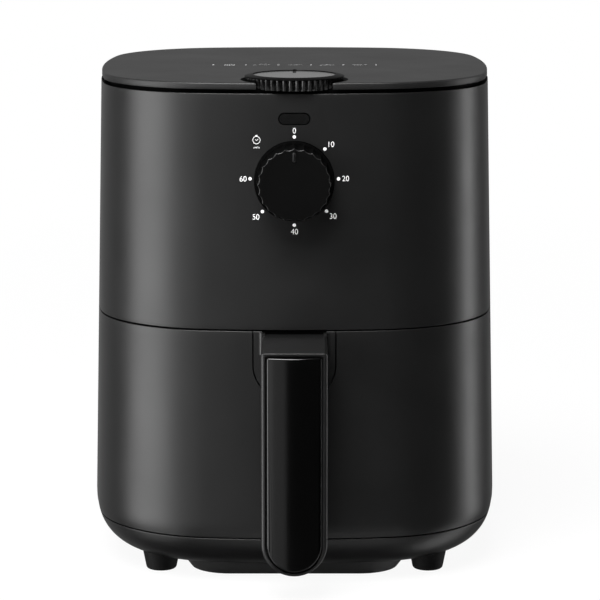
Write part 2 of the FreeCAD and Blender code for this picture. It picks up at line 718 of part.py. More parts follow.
def temperature_knob():
    low = COVER_Z + MOVING_GAP
    high = BODY_HEIGHT + 3.2
    drum = rod_z(THERMO_RADIUS, low, high, 0, THERMO_Y)
    rim = [edge for edge in drum.Edges if edge.BoundBox.ZMin > high - 0.001]
    drum = drum.makeChamfer(2.2, rim)
    flute = rod_z(1.5, low - 1.0, high + 1.0, THERMO_RADIUS + 0.6, THERMO_Y)
    flutes = spun(flute, THERMO_FLUTES, Vector(0, THERMO_Y, 0), Vector(0, 0, 1))
    mark = box(-1.4, 1.4, THERMO_Y + 17.0, THERMO_Y + 25.5, high - 1.0, high + 0.5)
    bore = rod_z(SHAFT_RADIUS + FIT, low - 1.0, BODY_HEIGHT, 0, THERMO_Y)
    return fused([drum.cut(flutes), mark]).cut(bore)


def timer_case():
    back = front_y(TIMER_Z) + 10.0
    half = TIMER_BODY / 2
    case = box(-half, half, back, back + 24.0, TIMER_Z - half, TIMER_Z + half)
    bell = rod_y(half - 4.0, back + 23.0, back + 30.0, 0, TIMER_Z)
    bore = rod_y(SHAFT_RADIUS + RUNNING_FIT, back - 1.0, back + 21.0, 0, TIMER_Z)
    return fused([case, bell]).cut(bore)


def timer_shaft():
    face = front_y(TIMER_Z)
    return rod_y(SHAFT_RADIUS, face - TIMER_PROJECTION + 5.0, face + 30.5, 0, TIMER_Z)


def timer_knob():
    face = front_y(TIMER_Z)
    back = face + 2.2
    front = face - TIMER_PROJECTION
    axis = Vector(0, -1, 0)
    flange = rod_y(TIMER_RADIUS + 1.7, face - 1.2, back, 0, TIMER_Z)
    length = face - 1.0 - front
    foot = Vector(0, face - 1.0, TIMER_Z)
    grip = Part.makeCone(TIMER_RADIUS + 0.7, TIMER_RADIUS - 0.3, length, foot, axis)
    rim = [edge for edge in grip.Edges if edge.BoundBox.YMax < front + 0.001]
    grip = grip.makeFillet(0.4, rim)
    half_pitch = math.pi * TIMER_RADIUS / TIMER_SCALLOPS
    depth = 1.1
    radius = (half_pitch ** 2 + depth ** 2) / (2 * depth)
    scallop = rod_y(radius, front - 1.0, face - 1.2, 0, TIMER_Z + TIMER_RADIUS - depth + radius)
    scallops = spun(scallop, TIMER_SCALLOPS, Vector(0, 0, TIMER_Z), axis)
    pointer = box(-0.9, 0.9, front - 0.7, front + 1.0, TIMER_Z + 14.0, TIMER_Z + 20.5)
    bore = rod_y(SHAFT_RADIUS + FIT, front + 5.0, face + 9.0, 0, TIMER_Z)
    return fused([grip.cut(scallops), flange, pointer]).cut(bore)


def fan_wheel(radius, hub, height, blades, twist):
    disc = rod_z(radius, height - 1.2, height)
    solids = [disc, rod_z(hub, 0, height)]
    blade = box(hub - 1.0, radius - 1.0, -0.6, 0.6, 0, height - 0.6)
    blade.rotate(Vector(hub, 0, 0), Vector(0, 0, 1), twist)
    blade = blade.common(rod_z(radius - 0.5, 0, height))
    solids += spun(blade, blades, Vector(0, 0, 0), Vector(0, 0, 1))
    return fused(solids).cut(rod_z(SHAFT_RADIUS + FIT, -1.0, height + 1.0))


def convection_fan():
    wheel = fan_wheel(FAN_RADIUS, FAN_HUB, FAN_HEIGHT, FAN_BLADES, 18.0)
    wheel.translate(Vector(0, DOME_Y, FAN_Z))
    return wheel


def cooling_fan():
    wheel = fan_wheel(COOLING_RADIUS, FAN_HUB, COOLING_HEIGHT, FAN_BLADES, 12.0)
    wheel.translate(Vector(0, DOME_Y, DECK_TOP + 3.0))
    return wheel


def fan_nut():
    hexagon = []
    for i in range(6):
        angle = math.radians(60 * i)
        hexagon.append((6.5 * math.cos(angle), 6.5 * math.sin(angle)))
    nut = prism_z(outline(hexagon, [0.0] * 6), FAN_Z - 5.0, FAN_Z)
    nut = nut.cut(rod_z(SHAFT_RADIUS + FIT, 0, BODY_HEIGHT))
    nut.translate(Vector(0, DOME_Y, 0))
    return nut


def motor_shaft():
    return rod_z(SHAFT_RADIUS, FAN_Z - 7.0, motor_levels()[1] + 13.0, 0, DOME_Y)


def motor_rotor():
    z0, z1 = motor_levels()
    body = rod_z(STATOR_BORE - ROTOR_GAP, z0, z1 + 1.0, 0, DOME_Y)
    return body.cut(rod_z(SHAFT_RADIUS + FIT, 0, BODY_HEIGHT, 0, DOME_Y))


def interlock_line():
    return LINER_X + 4.25, (LINER_Z0 + LINER_Z1) / 2 + 23.5


def interlock_switch():
    x, z = interlock_line()
    y0 = BEZEL_Y1 + 6.0
    plate = box(LINER_X, LINER_X + SHEET, y0 - 4.0, y0 + 26.0, z - 14.0, z + 14.0)
    case = box(LINER_X + 0.5, LINER_X + SHEET + 12.0, y0, y0 + 22.0, z - 10.0, z + 10.0)
    bore = rod_y(1.6 + RUNNING_FIT, y0 - 1.0, y0 + 12.5, x, z)
    return fused([plate, case]).cut(bore)


def interlock_plunger():
    x, z = interlock_line()
    y0 = BEZEL_Y1 + 6.0
    return rod_y(1.6, y0 - 3.0, y0 + 10.0, x, z)


def interlock_finger():
    x, z = interlock_line()
    tip = BEZEL_Y1 + 3.0 - MOVING_GAP
    return box(x - 1.75, x + 1.75, PANEL_Y1, tip, z - 4.0, z + 4.0)


def terminal_block():
    block = box(-18.0, 18.0, 72.0, 88.0, BASE_FLOOR, BASE_FLOOR + 13.0)
    cuts = [rod_z(3.0, BASE_FLOOR + 6.0, BASE_FLOOR + 20.0, x, 80.0) for x in (-12.0, 0.0, 12.0)]
    return block.cut(cuts)


def mount_face(grow):
    x = MOUNT_WIDTH / 2 + grow
    low = DRAWER_TOP - MOUNT_HEIGHT - grow
    return rectangle(-x, x, low, DRAWER_TOP + 5.0 * grow, MOUNT_CORNER + grow, 0)


def drawer_front():
    shell = wall(0, WALL, DRAWER_BOTTOM, DRAWER_TOP, -300, SPLIT_Y - SPLIT_GAP / 2)
    return shell.cut(prism_y(mount_face(0.15), -HALF_D - 9.0, -HALF_D + 30.0))


def handle_bracket_points():
    z = DRAWER_TOP - 10.5
    return [(-15.0, z), (15.0, z)]


def pan_screw_points():
    z = PAN_RIM_Z - 22.0
    return [(-28.0, z), (28.0, z)]


def drawer_panel():
    room = envelope(WALL + FIT)
    z0 = DRAWER_BOTTOM + 1.6
    z1 = DRAWER_TOP - 0.4
    plate = box(-300, 300, PANEL_Y0, PANEL_Y1, z0, z1)
    shelf = region(z1 - 2.5, z1, -300, PANEL_Y1)
    sill = region(z0, z0 + 2.5, -300, PANEL_Y1)
    body = fused([plate, shelf, sill]).common(room)
    cuts = []
    for x, z in handle_bracket_points() + pan_screw_points():
        cuts.append(rod_y(SCREW_RADIUS + FIT, PANEL_Y0 - 1.0, PANEL_Y1 + 1.0, x, z))
    return body.cut(cuts)


def pan_face(inset):
    x = PAN_X - inset
    radius = PAN_CORNER - inset
    return rectangle(-x, x, PAN_Y0 + inset, PAN_Y1 - inset, radius, radius)


def pot(inset, top, rounding):
    low = PAN_Z0 + inset
    solid = prism_z(pan_face(inset), low, top)
    edges = [edge for edge in solid.Edges if edge.BoundBox.ZMax < low + 0.001]
    return solid.makeFillet(rounding - inset, edges)


def pan():
    top = PAN_RIM_Z + PAN_SHEET
    x = PAN_X + PAN_RIM
    flange = prism_z(rectangle(-x, x, PANEL_Y1, PAN_Y1 + 6.0, 0, PAN_CORNER), PAN_RIM_Z, top)
    body = fused([pot(0, top, 14.0), flange]).cut(pot(PAN_SHEET, top + 5.0, 14.0))
    cuts = []
    for x, z in pan_screw_points():
        cuts.append(rod_y(SCREW_RADIUS + FIT, PAN_Y0 - 1.0, PAN_Y0 + 5.0, x, z))
    return body.cut(cuts)


def pan_bracket():
    z = PAN_RIM_Z - 22.0
    body = box(-38.0, 38.0, PANEL_Y1, PAN_Y0, z - 16.0, z + 16.0)
    cuts = [box(-18.0, 18.0, PANEL_Y1 - 1.0, PAN_Y0 + 1.0, z - 10.0, z + 10.0)]
    for x, height in pan_screw_points():
        cuts.append(rod_y(SCREW_RADIUS + FIT, PANEL_Y1 - 1.0, PAN_Y0 + 1.0, x, height))
    return body.cut(cuts)


def pan_screw(x, z):
    face = PAN_Y0 + PAN_SHEET
    head = rod_y(SCREW_HEAD, face, face + 1.5, x, z)
    shank = rod_y(SCREW_RADIUS, PANEL_Y0, face, x, z)
    return fused([head, shank])


def handle_levels():
    return HANDLE_BOTTOM_Z, DRAWER_TOP - HANDLE_DROP


def handle_body():
    z0, z1 = handle_levels()
    front = -HALF_D - HANDLE_REACH
    back = front + GRIP_THICKNESS
    root = -HALF_D + 9.0
    under = DRAWER_TOP - 34.0
    side = [(root, DRAWER_TOP - NECK_DROP), (front, z1), (front, z0), (back, z0), (back, under), (root, under)]
    profile = prism_x(outline(side, [0, 1.5, 0, 0, 9.0, 0]), -HANDLE_WIDTH, HANDLE_WIDTH)
    half = HANDLE_WIDTH / 2
    bar = prism_y(rectangle(-half, half, z0, z1 + 40.0, half, 0), front - 9.0, root + 9.0)
    grip = profile.common(bar)
    edges = []
    for edge in grip.Edges:
        limits = edge.BoundBox
        if limits.YMax < front + 0.001 and limits.ZMax < z1 - 1.0:
            edges.append(edge)
    grip = grip.makeFillet(1.2, edges)
    plate = prism_y(mount_face(0), -HALF_D - 9.0, root).common(envelope(0))
    body = fused([grip, plate]).cut(envelope(WALL))
    pocket = prism_y(inlay_face(0), front - 5.0, front + INLAY_DEPTH)
    return body.cut(pocket)


def inlay_face(inset):
    z0, z1 = handle_levels()
    half = HANDLE_WIDTH / 2 - INLAY_MARGIN - inset
    return rectangle(-half, half, z0 + INLAY_MARGIN + inset, z1 - 2.5 - inset, half, 1.5)


def handle_inlay():
    front = -HALF_D - HANDLE_REACH
    half = HANDLE_WIDTH / 2 - INLAY_MARGIN
    radius = (half ** 2 + HANDLE_CROWN ** 2) / (2 * HANDLE_CROWN)
    blank = prism_y(inlay_face(FIT), front - HANDLE_CROWN - 5.0, front + INLAY_DEPTH)
    crown = rod_z(radius, 0, BODY_HEIGHT, 0, front - HANDLE_CROWN + radius)
    return blank.common(crown)


def handle_bracket():
    z0 = DRAWER_TOP - 37.0
    z1 = DRAWER_TOP - 6.0
    body = box(-19.0, 19.0, -HALF_D - 5.0, PANEL_Y0, z0, z1)
    body = body.common(envelope(WALL + FIT))
    cuts = [box(-11.0, 11.0, -300, 300, z0 + 3.0, z1 - 3.0)]
    for x, z in handle_bracket_points():
        cuts.append(rod_y(SCREW_RADIUS + FIT, PANEL_Y0 - 14.0, PANEL_Y0 + 1.0, x, z))
    return body.cut(cuts)


def handle_screw(x, z):
    head = rod_y(SCREW_HEAD, PANEL_Y1, PANEL_Y1 + 2.0, x, z)
    shank = rod_y(SCREW_RADIUS, PANEL_Y0 - 12.0, PANEL_Y1, x, z)
    return fused([head, shank])


def grid_face(inset):
    gap = PAN_SHEET + 3.5 + inset
    x = PAN_X - gap
    radius = PAN_CORNER - gap
    return rectangle(-x, x, PAN_Y0 + gap, PAN_Y1 - gap, radius, radius)


def crisper_grid():
    middle = (PAN_Y0 + PAN_Y1) / 2
    plate = prism_z(grid_face(0), GRID_Z, GRID_Z + 1.5)
    rim = prism_z(grid_face(0), GRID_Z, GRID_Z + 6.0).cut(prism_z(grid_face(1.5), GRID_Z - 1.0, GRID_Z + 9.0))
    solids = [plate, rim]
    for x in (-56.0, 56.0):
        for y in (middle - 56.0, middle + 56.0):
            solids.append(rod_z(4.0, PAN_FLOOR, GRID_Z + 0.5, x, y))
    cuts = [rod_z(12.0, GRID_Z - 1.0, GRID_Z + 3.0, 0, middle)]
    slot = rectangle(-8.0, 8.0, -2.2, 2.2, 2.2, 2.2)
    for row in range(-5, 6):
        y = 12.5 * row
        for column in range(-3, 4):
            x = 22.0 * column + (11.0 if row % 2 else 0.0)
            near_leg = abs(abs(x) - 56.0) < 13.0 and abs(abs(y) - 56.0) < 7.0
            if math.hypot(x, y) > 23.0 and abs(x) < 72.0 and not near_leg:
                if abs(x) + abs(y) < 112.0:
                    hole = prism_z(slot, GRID_Z - 1.0, GRID_Z + 3.0)
                    hole.translate(Vector(x, middle + y, 0))
                    cuts.append(hole)
    return fused(solids).cut(cuts)


def grid_bumper(side):
    middle = (PAN_Y0 + PAN_Y1) / 2
    inner = PAN_X - PAN_SHEET - 3.5
    outer = PAN_X - PAN_SHEET - MOVING_GAP
    x0 = min(side * inner, side * outer)
    x1 = max(side * inner, side * outer)
    return box(x0, x1, middle - 12.0, middle + 12.0, GRID_Z - 1.0, GRID_Z + 5.0)


def all_parts():
    parts = {
        "upper_housing": upper_housing(),
        "top_cover": top_cover(),
        "rear_housing": rear_housing(),
        "base_pan": base_pan(),
        "front_bezel": front_bezel(),
        "bottom_cover": bottom_cover(),
        "cooking_liner": cooking_liner(),
        "left_rail": rail(-1),
        "right_rail": rail(1),
        "hot_air_dome": hot_air_dome(),
        "exhaust_duct": exhaust_duct(),
        "rear_grille": rear_grille(),
        "cord_gland": cord_gland(),
        "indicator_lens": indicator_lens(),
        "indicator_lamp": indicator_lamp(),
        "heater_coil": heater_coil(),
        "heater_support": heater_support(),
        "deck": deck(),
        "motor_bracket": motor_bracket(),
        "motor_stator": motor_stator(),
        "motor_coil": motor_coil(),
        "upper_bearing": upper_bearing(),
        "thermal_cutoff": thermal_cutoff(),
        "thermostat_body": thermostat_body(),
        "thermostat_shaft": thermostat_shaft(),
        "temperature_knob": temperature_knob(),
        "timer_case": timer_case(),
        "timer_shaft": timer_shaft(),
        "timer_knob": timer_knob(),
        "convection_fan": convection_fan(),
        "cooling_fan": cooling_fan(),
        "fan_nut": fan_nut(),
        "motor_shaft": motor_shaft(),
        "motor_rotor": motor_rotor(),
        "interlock_switch": interlock_switch(),
        "interlock_plunger": interlock_plunger(),
        "interlock_finger": interlock_finger(),
        "terminal_block": terminal_block(),
        "drawer_front": drawer_front(),
        "drawer_panel": drawer_panel(),
        "pan": pan(),
        "pan_bracket": pan_bracket(),
        "handle_body": handle_body(),
        "handle_inlay": handle_inlay(),
        "handle_bracket": handle_bracket(),
        "crisper_grid": crisper_grid(),
        "left_grid_bumper": grid_bumper(-1),
        "right_grid_bumper": grid_bumper(1),
    }
    for name, point in foot_points().items():
        parts["foot_" + name] = foot(*point)
    parts["foot_screws"] = Part.makeCompound([foot_screw(*point) for point in foot_points().values()])
    parts["pan_screws"] = Part.makeCompound([pan_screw(*point) for point in pan_screw_points()])
    parts["handle_screws"] = Part.makeCompound([handle_screw(*point) for point in handle_bracket_points()])
    return parts


os.makedirs("parts", exist_ok=True)
for name, shape in all_parts().items():
    shape.translate(Vector(0, BODY_Y, 0))
    shape.exportStep("parts/" + name + ".step")
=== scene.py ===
import bmesh
import bpy
import math
from mathutils import Matrix, Vector


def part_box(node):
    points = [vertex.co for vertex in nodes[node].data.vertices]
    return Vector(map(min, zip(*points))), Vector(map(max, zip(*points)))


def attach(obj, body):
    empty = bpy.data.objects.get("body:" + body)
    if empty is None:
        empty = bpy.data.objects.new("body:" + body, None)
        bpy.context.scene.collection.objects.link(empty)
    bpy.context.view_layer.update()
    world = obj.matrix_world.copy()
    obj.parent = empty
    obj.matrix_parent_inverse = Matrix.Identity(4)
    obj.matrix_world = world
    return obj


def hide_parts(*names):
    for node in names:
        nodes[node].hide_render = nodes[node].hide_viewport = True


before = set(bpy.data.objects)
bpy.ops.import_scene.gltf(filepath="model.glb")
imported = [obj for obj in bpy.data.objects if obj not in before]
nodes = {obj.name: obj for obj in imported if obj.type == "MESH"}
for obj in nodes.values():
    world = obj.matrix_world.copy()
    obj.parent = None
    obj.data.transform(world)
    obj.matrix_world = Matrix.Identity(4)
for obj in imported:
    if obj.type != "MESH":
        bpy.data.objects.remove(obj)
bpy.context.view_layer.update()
mm = 0.001
near = 0.05 * mm  # heights closer than this count as equal
print("frame loaded:", len(nodes), "nodes")

# the plan of the body: four long arcs and tangent corners, walls drawn in towards the top
body = {
    "halfWidth": 132.7 * mm, "halfDepth": 136 * mm, "longRadius": 428 * mm, "cornerRadius": 84 * mm,
    "draft": 0.0226, "widestZ": 54 * mm, "baseRound": 31.4 * mm, "baseZ": 9.2 * mm, "wall": 2.8 * mm,
    "topZ": 320 * mm, "coverZ": 315.8 * mm, "housingTop": 313.3 * mm, "midSeam": 165.8 * mm,
    "drawerTop": 164.8 * mm, "drawerBottom": 32.1 * mm, "lowSeam": 31.3 * mm, "splitY": -40 * mm,
    "splitHalf": 0.4 * mm, "glandFlange": 3 * mm, "steps": 288,
}
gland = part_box("cord_gland")
body["shiftY"] = gland[1].y - body["halfDepth"] - body["glandFlange"]  # from the plan's centre to the frame's


def cornerCentre():
    a, b = body["halfWidth"], body["halfDepth"]
    long, corner = body["longRadius"], body["cornerRadius"]
    front, side = Vector((0, b - long)), Vector((a - long, 0))
    span = side - front
    half = span.length / 2
    rise = math.sqrt((long - corner) ** 2 - half ** 2)
    along = span.normalized()
    return front + along * half + Vector((along.y, -along.x)) * rise


def planPoint(angle, inset):
    a, b, long = body["halfWidth"], body["halfDepth"], body["longRadius"]
    ray = Vector((abs(math.cos(angle)), abs(math.sin(angle))))
    corner = cornerCentre()
    radius = body["cornerRadius"] - inset
    front, side = Vector((0, b - long)), Vector((a - long, 0))
    toFront = corner + (corner - front).normalized() * radius
    toSide = corner + (corner - side).normalized() * radius
    slope = math.atan2(ray.y, ray.x)
    if slope > math.atan2(toFront.y, toFront.x):
        centre, radius = front, long - inset
    elif slope < math.atan2(toSide.y, toSide.x):
        centre, radius = side, long - inset
    else:
        centre = corner
    near = ray.dot(centre)
    reach = near + math.sqrt(near ** 2 - centre.length_squared + radius ** 2)
    return math.copysign(ray.x * reach, math.cos(angle)), math.copysign(ray.y * reach, math.sin(angle))


def wallInset(z):
    inset = (z - body["widestZ"]) * body["draft"]
    drop = body["baseZ"] + body["baseRound"] - z
    if drop > 0:
        inset += body["baseRound"] - math.sqrt(max(body["baseRound"] ** 2 - drop ** 2, 0))
    return inset


def frontY(x, z):
    long = body["longRadius"]
    return long - body["halfDepth"] - math.sqrt((long - wallInset(z)) ** 2 - x ** 2)


def levels(z0, z1, count):
    return [z0 + (z1 - z0) * i / count for i in range(count + 1)]


def quarter(count):
    return [math.radians(90 * i / count) for i in range(count + 1)]


def roundedWall(z0, z1, count, soft):
    # outer wall from z0 up to z1 with softened lips, as (inset, height) pairs
    low = [(soft * (1 - math.sin(t)), z0 + soft * (1 - math.cos(t))) for t in quarter(5)]
    high = [(soft * (1 - math.cos(t)), z1 - soft * (1 - math.sin(t))) for t in quarter(5)]
    middle = [(0, z) for z in levels(z0 + soft, z1 - soft, count)[1:-1]]
    return low + middle + high


def setRing(verts, inset, z):
    for v in verts:
        x, y = planPoint(math.atan2(v.co.y, v.co.x), inset + wallInset(z))
        v.co = (x, y, z)


def vertsIn(geom):
    return [g for g in geom if isinstance(g, bmesh.types.BMVert)]


def edgesIn(geom):
    return [g for g in geom if isinstance(g, bmesh.types.BMEdge)]


def ringStack(profile, capped=False):
    # rings of the plan pulled through the profile's (inset, height) pairs, then capped or joined end to end
    bm = bmesh.new()
    bmesh.ops.create_circle(bm, cap_ends=False, segments=body["steps"], radius=1)
    setRing(bm.verts[:], *profile[0])
    first = bm.edges[:]
    edges = first
    for inset, z in profile[1:]:
        made = bmesh.ops.extrude_edge_only(bm, edges=edges)["geom"]
        edges = edgesIn(made)
        setRing(vertsIn(made), inset, z)
    if capped:
        bmesh.ops.holes_fill(bm, edges=first)
        bmesh.ops.holes_fill(bm, edges=edges)
    else:
        bmesh.ops.bridge_loops(bm, edges=first + edges)
    bmesh.ops.recalc_face_normals(bm, faces=bm.faces)
    return bm


def planPlate(inset, z0, z1, rearY):
    # flat floor that fills the front of the plan back to rearY
    bm = bmesh.new()
    bmesh.ops.create_circle(bm, cap_ends=True, segments=body["steps"], radius=1)
    setRing(bm.verts[:], inset, z0)
    pushed(bm, (0, 0, z1 - z0))
    keepSide(bm, rearY, front=True)
    bmesh.ops.recalc_face_normals(bm, faces=bm.faces)
    return bm


def keepSide(bm, y, front):
    geom = bm.verts[:] + bm.edges[:] + bm.faces[:]
    cut = bmesh.ops.bisect_plane(bm, geom=geom, dist=1e-6, plane_co=(0, y, 0), plane_no=(0, 1, 0),
                                 clear_outer=front, clear_inner=not front)["geom_cut"]
    bmesh.ops.holes_fill(bm, edges=edgesIn(cut))


def addTo(bm, other):
    spare = bpy.data.meshes.new("spare")
    other.to_mesh(spare)
    other.free()
    bm.from_mesh(spare)
    bpy.data.meshes.remove(spare)


def crease(mesh, sharp):
    for p in mesh.polygons:
        p.use_smooth = True
    mesh.set_sharp_from_angle(angle=math.radians(sharp))


def loose(name, bm, sharp=32):
    mesh = bpy.data.meshes.new(name)
    bm.to_mesh(mesh)
    bm.free()
    crease(mesh, sharp)
    obj = bpy.data.objects.new(name, mesh)
    bpy.context.scene.collection.objects.link(obj)
    return obj


def settle(obj, sharp=32):
    # applies what modifiers made of the piece
    bpy.context.view_layer.update()
    view = bpy.context.evaluated_depsgraph_get()
    mesh = bpy.data.meshes.new_from_object(obj.evaluated_get(view))
    old = obj.data
    obj.modifiers.clear()
    obj.data = mesh
    mesh.name = obj.name
    bpy.data.meshes.remove(old)
    if sharp:
        crease(mesh, sharp)


def carve(obj, cutters, how="DIFFERENCE"):
    for cutter in cutters:
        mod = obj.modifiers.new("carve", "BOOLEAN")
        mod.operation = how
        mod.solver = "EXACT"
        mod.object = cutter
        settle(obj)
        bpy.data.objects.remove(cutter)


def evenShade(obj):
    # lets wide flat faces rule the shading of the edges round them
    even = obj.modifiers.new("even", "WEIGHTED_NORMAL")
    even.weight = 90
    even.keep_sharp = True
    settle(obj, None)


def soften(obj, width, segments=3, angle=35, clamp=True):
    mod = obj.modifiers.new("soften", "BEVEL")
    mod.width = width
    mod.segments = segments
    mod.profile = 0.5
    mod.use_clamp_overlap = clamp
    mod.limit_method = "ANGLE"
    mod.angle_limit = math.radians(angle)
    settle(obj, 40)
    evenShade(obj)


def upright(edge):
    a, b = [v.co for v in edge.verts]
    return abs(a.x - b.x) + abs(a.y - b.y) < 0.3 * abs(a.z - b.z)


def lengthwise(edge):
    a, b = [v.co for v in edge.verts]
    return abs(a.y - b.y) > 0.9 * edge.calc_length() and edge.calc_face_angle(0) > 0.6


def roundEdges(obj, radius, wanted, segments=5):
    bm = bmesh.new()
    bm.from_mesh(obj.data)
    edges = [e for e in bm.edges if wanted(e)]
    bmesh.ops.bevel(bm, geom=edges, offset=radius, offset_type="OFFSET", affect="EDGES", segments=segments,
                    profile=0.5, material=-1, clamp_overlap=True)
    bm.to_mesh(obj.data)
    bm.free()
    obj.data.set_sharp_from_angle(angle=math.radians(40))


def moveBody(bm):
    bmesh.ops.translate(bm, vec=(0, body["shiftY"], 0), verts=bm.verts)
    return bm


def rod(name, radius, start, end, segments=96):
    # round cutter or peg between two points
    start, end = Vector(start), Vector(end)
    axis = end - start
    bm = bmesh.new()
    bmesh.ops.create_cone(bm, cap_ends=True, segments=segments, radius1=radius, radius2=radius,
                          depth=axis.length)
    turn = Vector((0, 0, 1)).rotation_difference(axis).to_matrix().to_4x4()
    bmesh.ops.transform(bm, matrix=Matrix.Translation((start + end) / 2) @ turn, verts=bm.verts)
    return loose(name, moveBody(bm))


def roundCorners(bm, verts, radius, segments):
    bmesh.ops.bevel(bm, geom=verts, offset=radius, offset_type="OFFSET", affect="VERTICES", segments=segments,
                    profile=0.5, material=-1, clamp_overlap=True)
    bmesh.ops.remove_doubles(bm, verts=bm.verts, dist=1e-6)


def outlineFace(x0, x1, z0, z1, low, high, segments=12):
    # upright rectangle with its lower and upper corners rounded
    bm = bmesh.new()
    bmesh.ops.create_grid(bm, x_segments=1, y_segments=1, size=0.5)
    bmesh.ops.scale(bm, vec=(x1 - x0, z1 - z0, 1), verts=bm.verts)
    bmesh.ops.rotate(bm, matrix=Matrix.Rotation(math.radians(90), 3, "X"), verts=bm.verts)
    bmesh.ops.translate(bm, vec=((x0 + x1) / 2, 0, (z0 + z1) / 2), verts=bm.verts)
    under = [v for v in bm.verts if v.co.z < (z0 + z1) / 2]
    over = [v for v in bm.verts if v not in under]
    if low == high > 0:
        roundCorners(bm, under + over, low, segments)
    elif low > 0:
        roundCorners(bm, under, low, segments)
    if high > 0 and high != low:
        over = [v for v in bm.verts if v.co.z > z1 - 1e-6]
        roundCorners(bm, over, high, segments)
    return bm


def pushed(bm, way):
    # gives a flat outline its thickness
    made = bmesh.ops.extrude_face_region(bm, geom=bm.faces[:])["geom"]
    bmesh.ops.translate(bm, vec=way, verts=vertsIn(made))
    bmesh.ops.recalc_face_normals(bm, faces=bm.faces)
    return bm


def outlineSolid(name, outline, y0, y1):
    bm = outlineFace(*outline)
    bmesh.ops.translate(bm, vec=(0, y0, 0), verts=bm.verts)
    return loose(name, moveBody(pushed(bm, (0, y1 - y0, 0))))


def piece(obj, bodyName, material, slot, *replaced):
    obj.data.materials.clear()
    obj.data.materials.append(material)
    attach(obj, bodyName)
    if replaced:
        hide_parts(*replaced)
    return obj


def smoothCopy(node, bodyName, material, slot, sharp=30):
    # the CAD shape with its triangles joined, so that round faces shade round
    bm = bmesh.new()
    bm.from_mesh(nodes[node].data)
    bmesh.ops.remove_doubles(bm, verts=bm.verts, dist=2e-6)
    bmesh.ops.dissolve_degenerate(bm, edges=bm.edges, dist=1e-6)
    obj = loose(node + "Skin", bm, sharp)
    evenShade(obj)
    return piece(obj, bodyName, material, slot, node)


grainSet = {"detail": 2.0, "sheenDetail": 4.0, "sheenScale": 22.0}
sheetSet = {"detail": 3.0, "streakScale": 1.0, "cloudScale": 30.0}
coatSet = {"cellScale": 700.0, "speckSize": 0.16, "detail": 2.0, "peelScale": 160.0}
sheenSet = {"from": 0.3, "to": 0.7}


def newGroup(name, *extra):
    # node group of an effect, with what every effect takes and gives
    group = bpy.data.node_groups.new(name, "ShaderNodeTree")
    takes = (("Dark", "Color"), ("Light", "Color"), ("Rough Low", "Float"), ("Rough High", "Float")) + extra
    for label, kind in takes:
        group.interface.new_socket(label, in_out="INPUT", socket_type="NodeSocket" + kind)
    for label, kind in (("Colour", "Color"), ("Roughness", "Float"), ("Height", "Float")):
        group.interface.new_socket(label, in_out="OUTPUT", socket_type="NodeSocket" + kind)
    enter, leave = group.nodes.new("NodeGroupInput"), group.nodes.new("NodeGroupOutput")
    place = group.nodes.new("ShaderNodeTexCoord")
    return group, enter.outputs, leave.inputs, place.outputs["Object"]


def wire(tree, *pairs):
    for start, end in pairs:
        tree.links.new(start, end)


def noise(tree, vector, detail, scale):
    # scale is a number or another node's output
    node = tree.nodes.new("ShaderNodeTexNoise")
    node.inputs["Detail"].default_value = detail
    tree.links.new(vector, node.inputs["Vector"])
    if isinstance(scale, float):
        node.inputs["Scale"].default_value = scale
    else:
        tree.links.new(scale, node.inputs["Scale"])
    return node.outputs["Fac"]


def give(group, enter, leave, mask, sheen, height):
    # the mask mixes the two colours, and the sheen spreads the roughness
    colours = group.nodes.new("ShaderNodeMix")
    colours.data_type = "RGBA"
    rough = group.nodes.new("ShaderNodeMapRange")
    rough.inputs["From Min"].default_value = sheenSet["from"]
    rough.inputs["From Max"].default_value = sheenSet["to"]
    wire(group, (mask, colours.inputs[0]), (enter["Dark"], colours.inputs[6]), (enter["Light"], colours.inputs[7]),
         (colours.outputs[2], leave["Colour"]), (sheen, rough.inputs["Value"]),
         (enter["Rough Low"], rough.inputs["To Min"]), (enter["Rough High"], rough.inputs["To Max"]),
         (rough.outputs["Result"], leave["Roughness"]), (height, leave["Height"]))
    return group


def mouldGrain():
    # fine spark-eroded grain of moulded plastic, with slow changes of sheen
    group, enter, leave, place = newGroup("mouldGrain", ("Grain", "Float"))
    fine = noise(group, place, grainSet["detail"], enter["Grain"])
    slow = noise(group, place, grainSet["sheenDetail"], grainSet["sheenScale"])
    return give(group, enter, leave, slow, slow, fine)


def rolledSheet():
    # drawn-out streaks of rolled or brushed metal
    group, enter, leave, place = newGroup("rolledSheet", ("Stretch", "Vector"))
    drawn = group.nodes.new("ShaderNodeVectorMath")
    drawn.operation = "MULTIPLY"
    group.links.new(place, drawn.inputs[0])
    group.links.new(enter["Stretch"], drawn.inputs[1])
    streak = noise(group, drawn.outputs["Vector"], sheetSet["detail"], sheetSet["streakScale"])
    cloud = noise(group, place, sheetSet["detail"], sheetSet["cloudScale"])
    return give(group, enter, leave, cloud, streak, streak)


def bakedCoat():
    # sprayed coating with fine lighter specks
    group, enter, leave, place = newGroup("bakedCoat")
    cells = group.nodes.new("ShaderNodeTexVoronoi")
    cells.inputs["Scale"].default_value = coatSet["cellScale"]
    group.links.new(place, cells.inputs["Vector"])
    speck = group.nodes.new("ShaderNodeMath")
    speck.operation = "LESS_THAN"
    speck.inputs[1].default_value = coatSet["speckSize"]
    group.links.new(cells.outputs["Distance"], speck.inputs[0])
    peel = noise(group, place, coatSet["detail"], coatSet["peelScale"])
    return give(group, enter, leave, speck.outputs["Value"], peel, peel)


effects = {"grain": mouldGrain(), "sheet": rolledSheet(), "coat": bakedCoat()}


def colour(value):
    # a grey level or a colour
    return (value if isinstance(value, tuple) else (value,) * 3) + (1.0,)


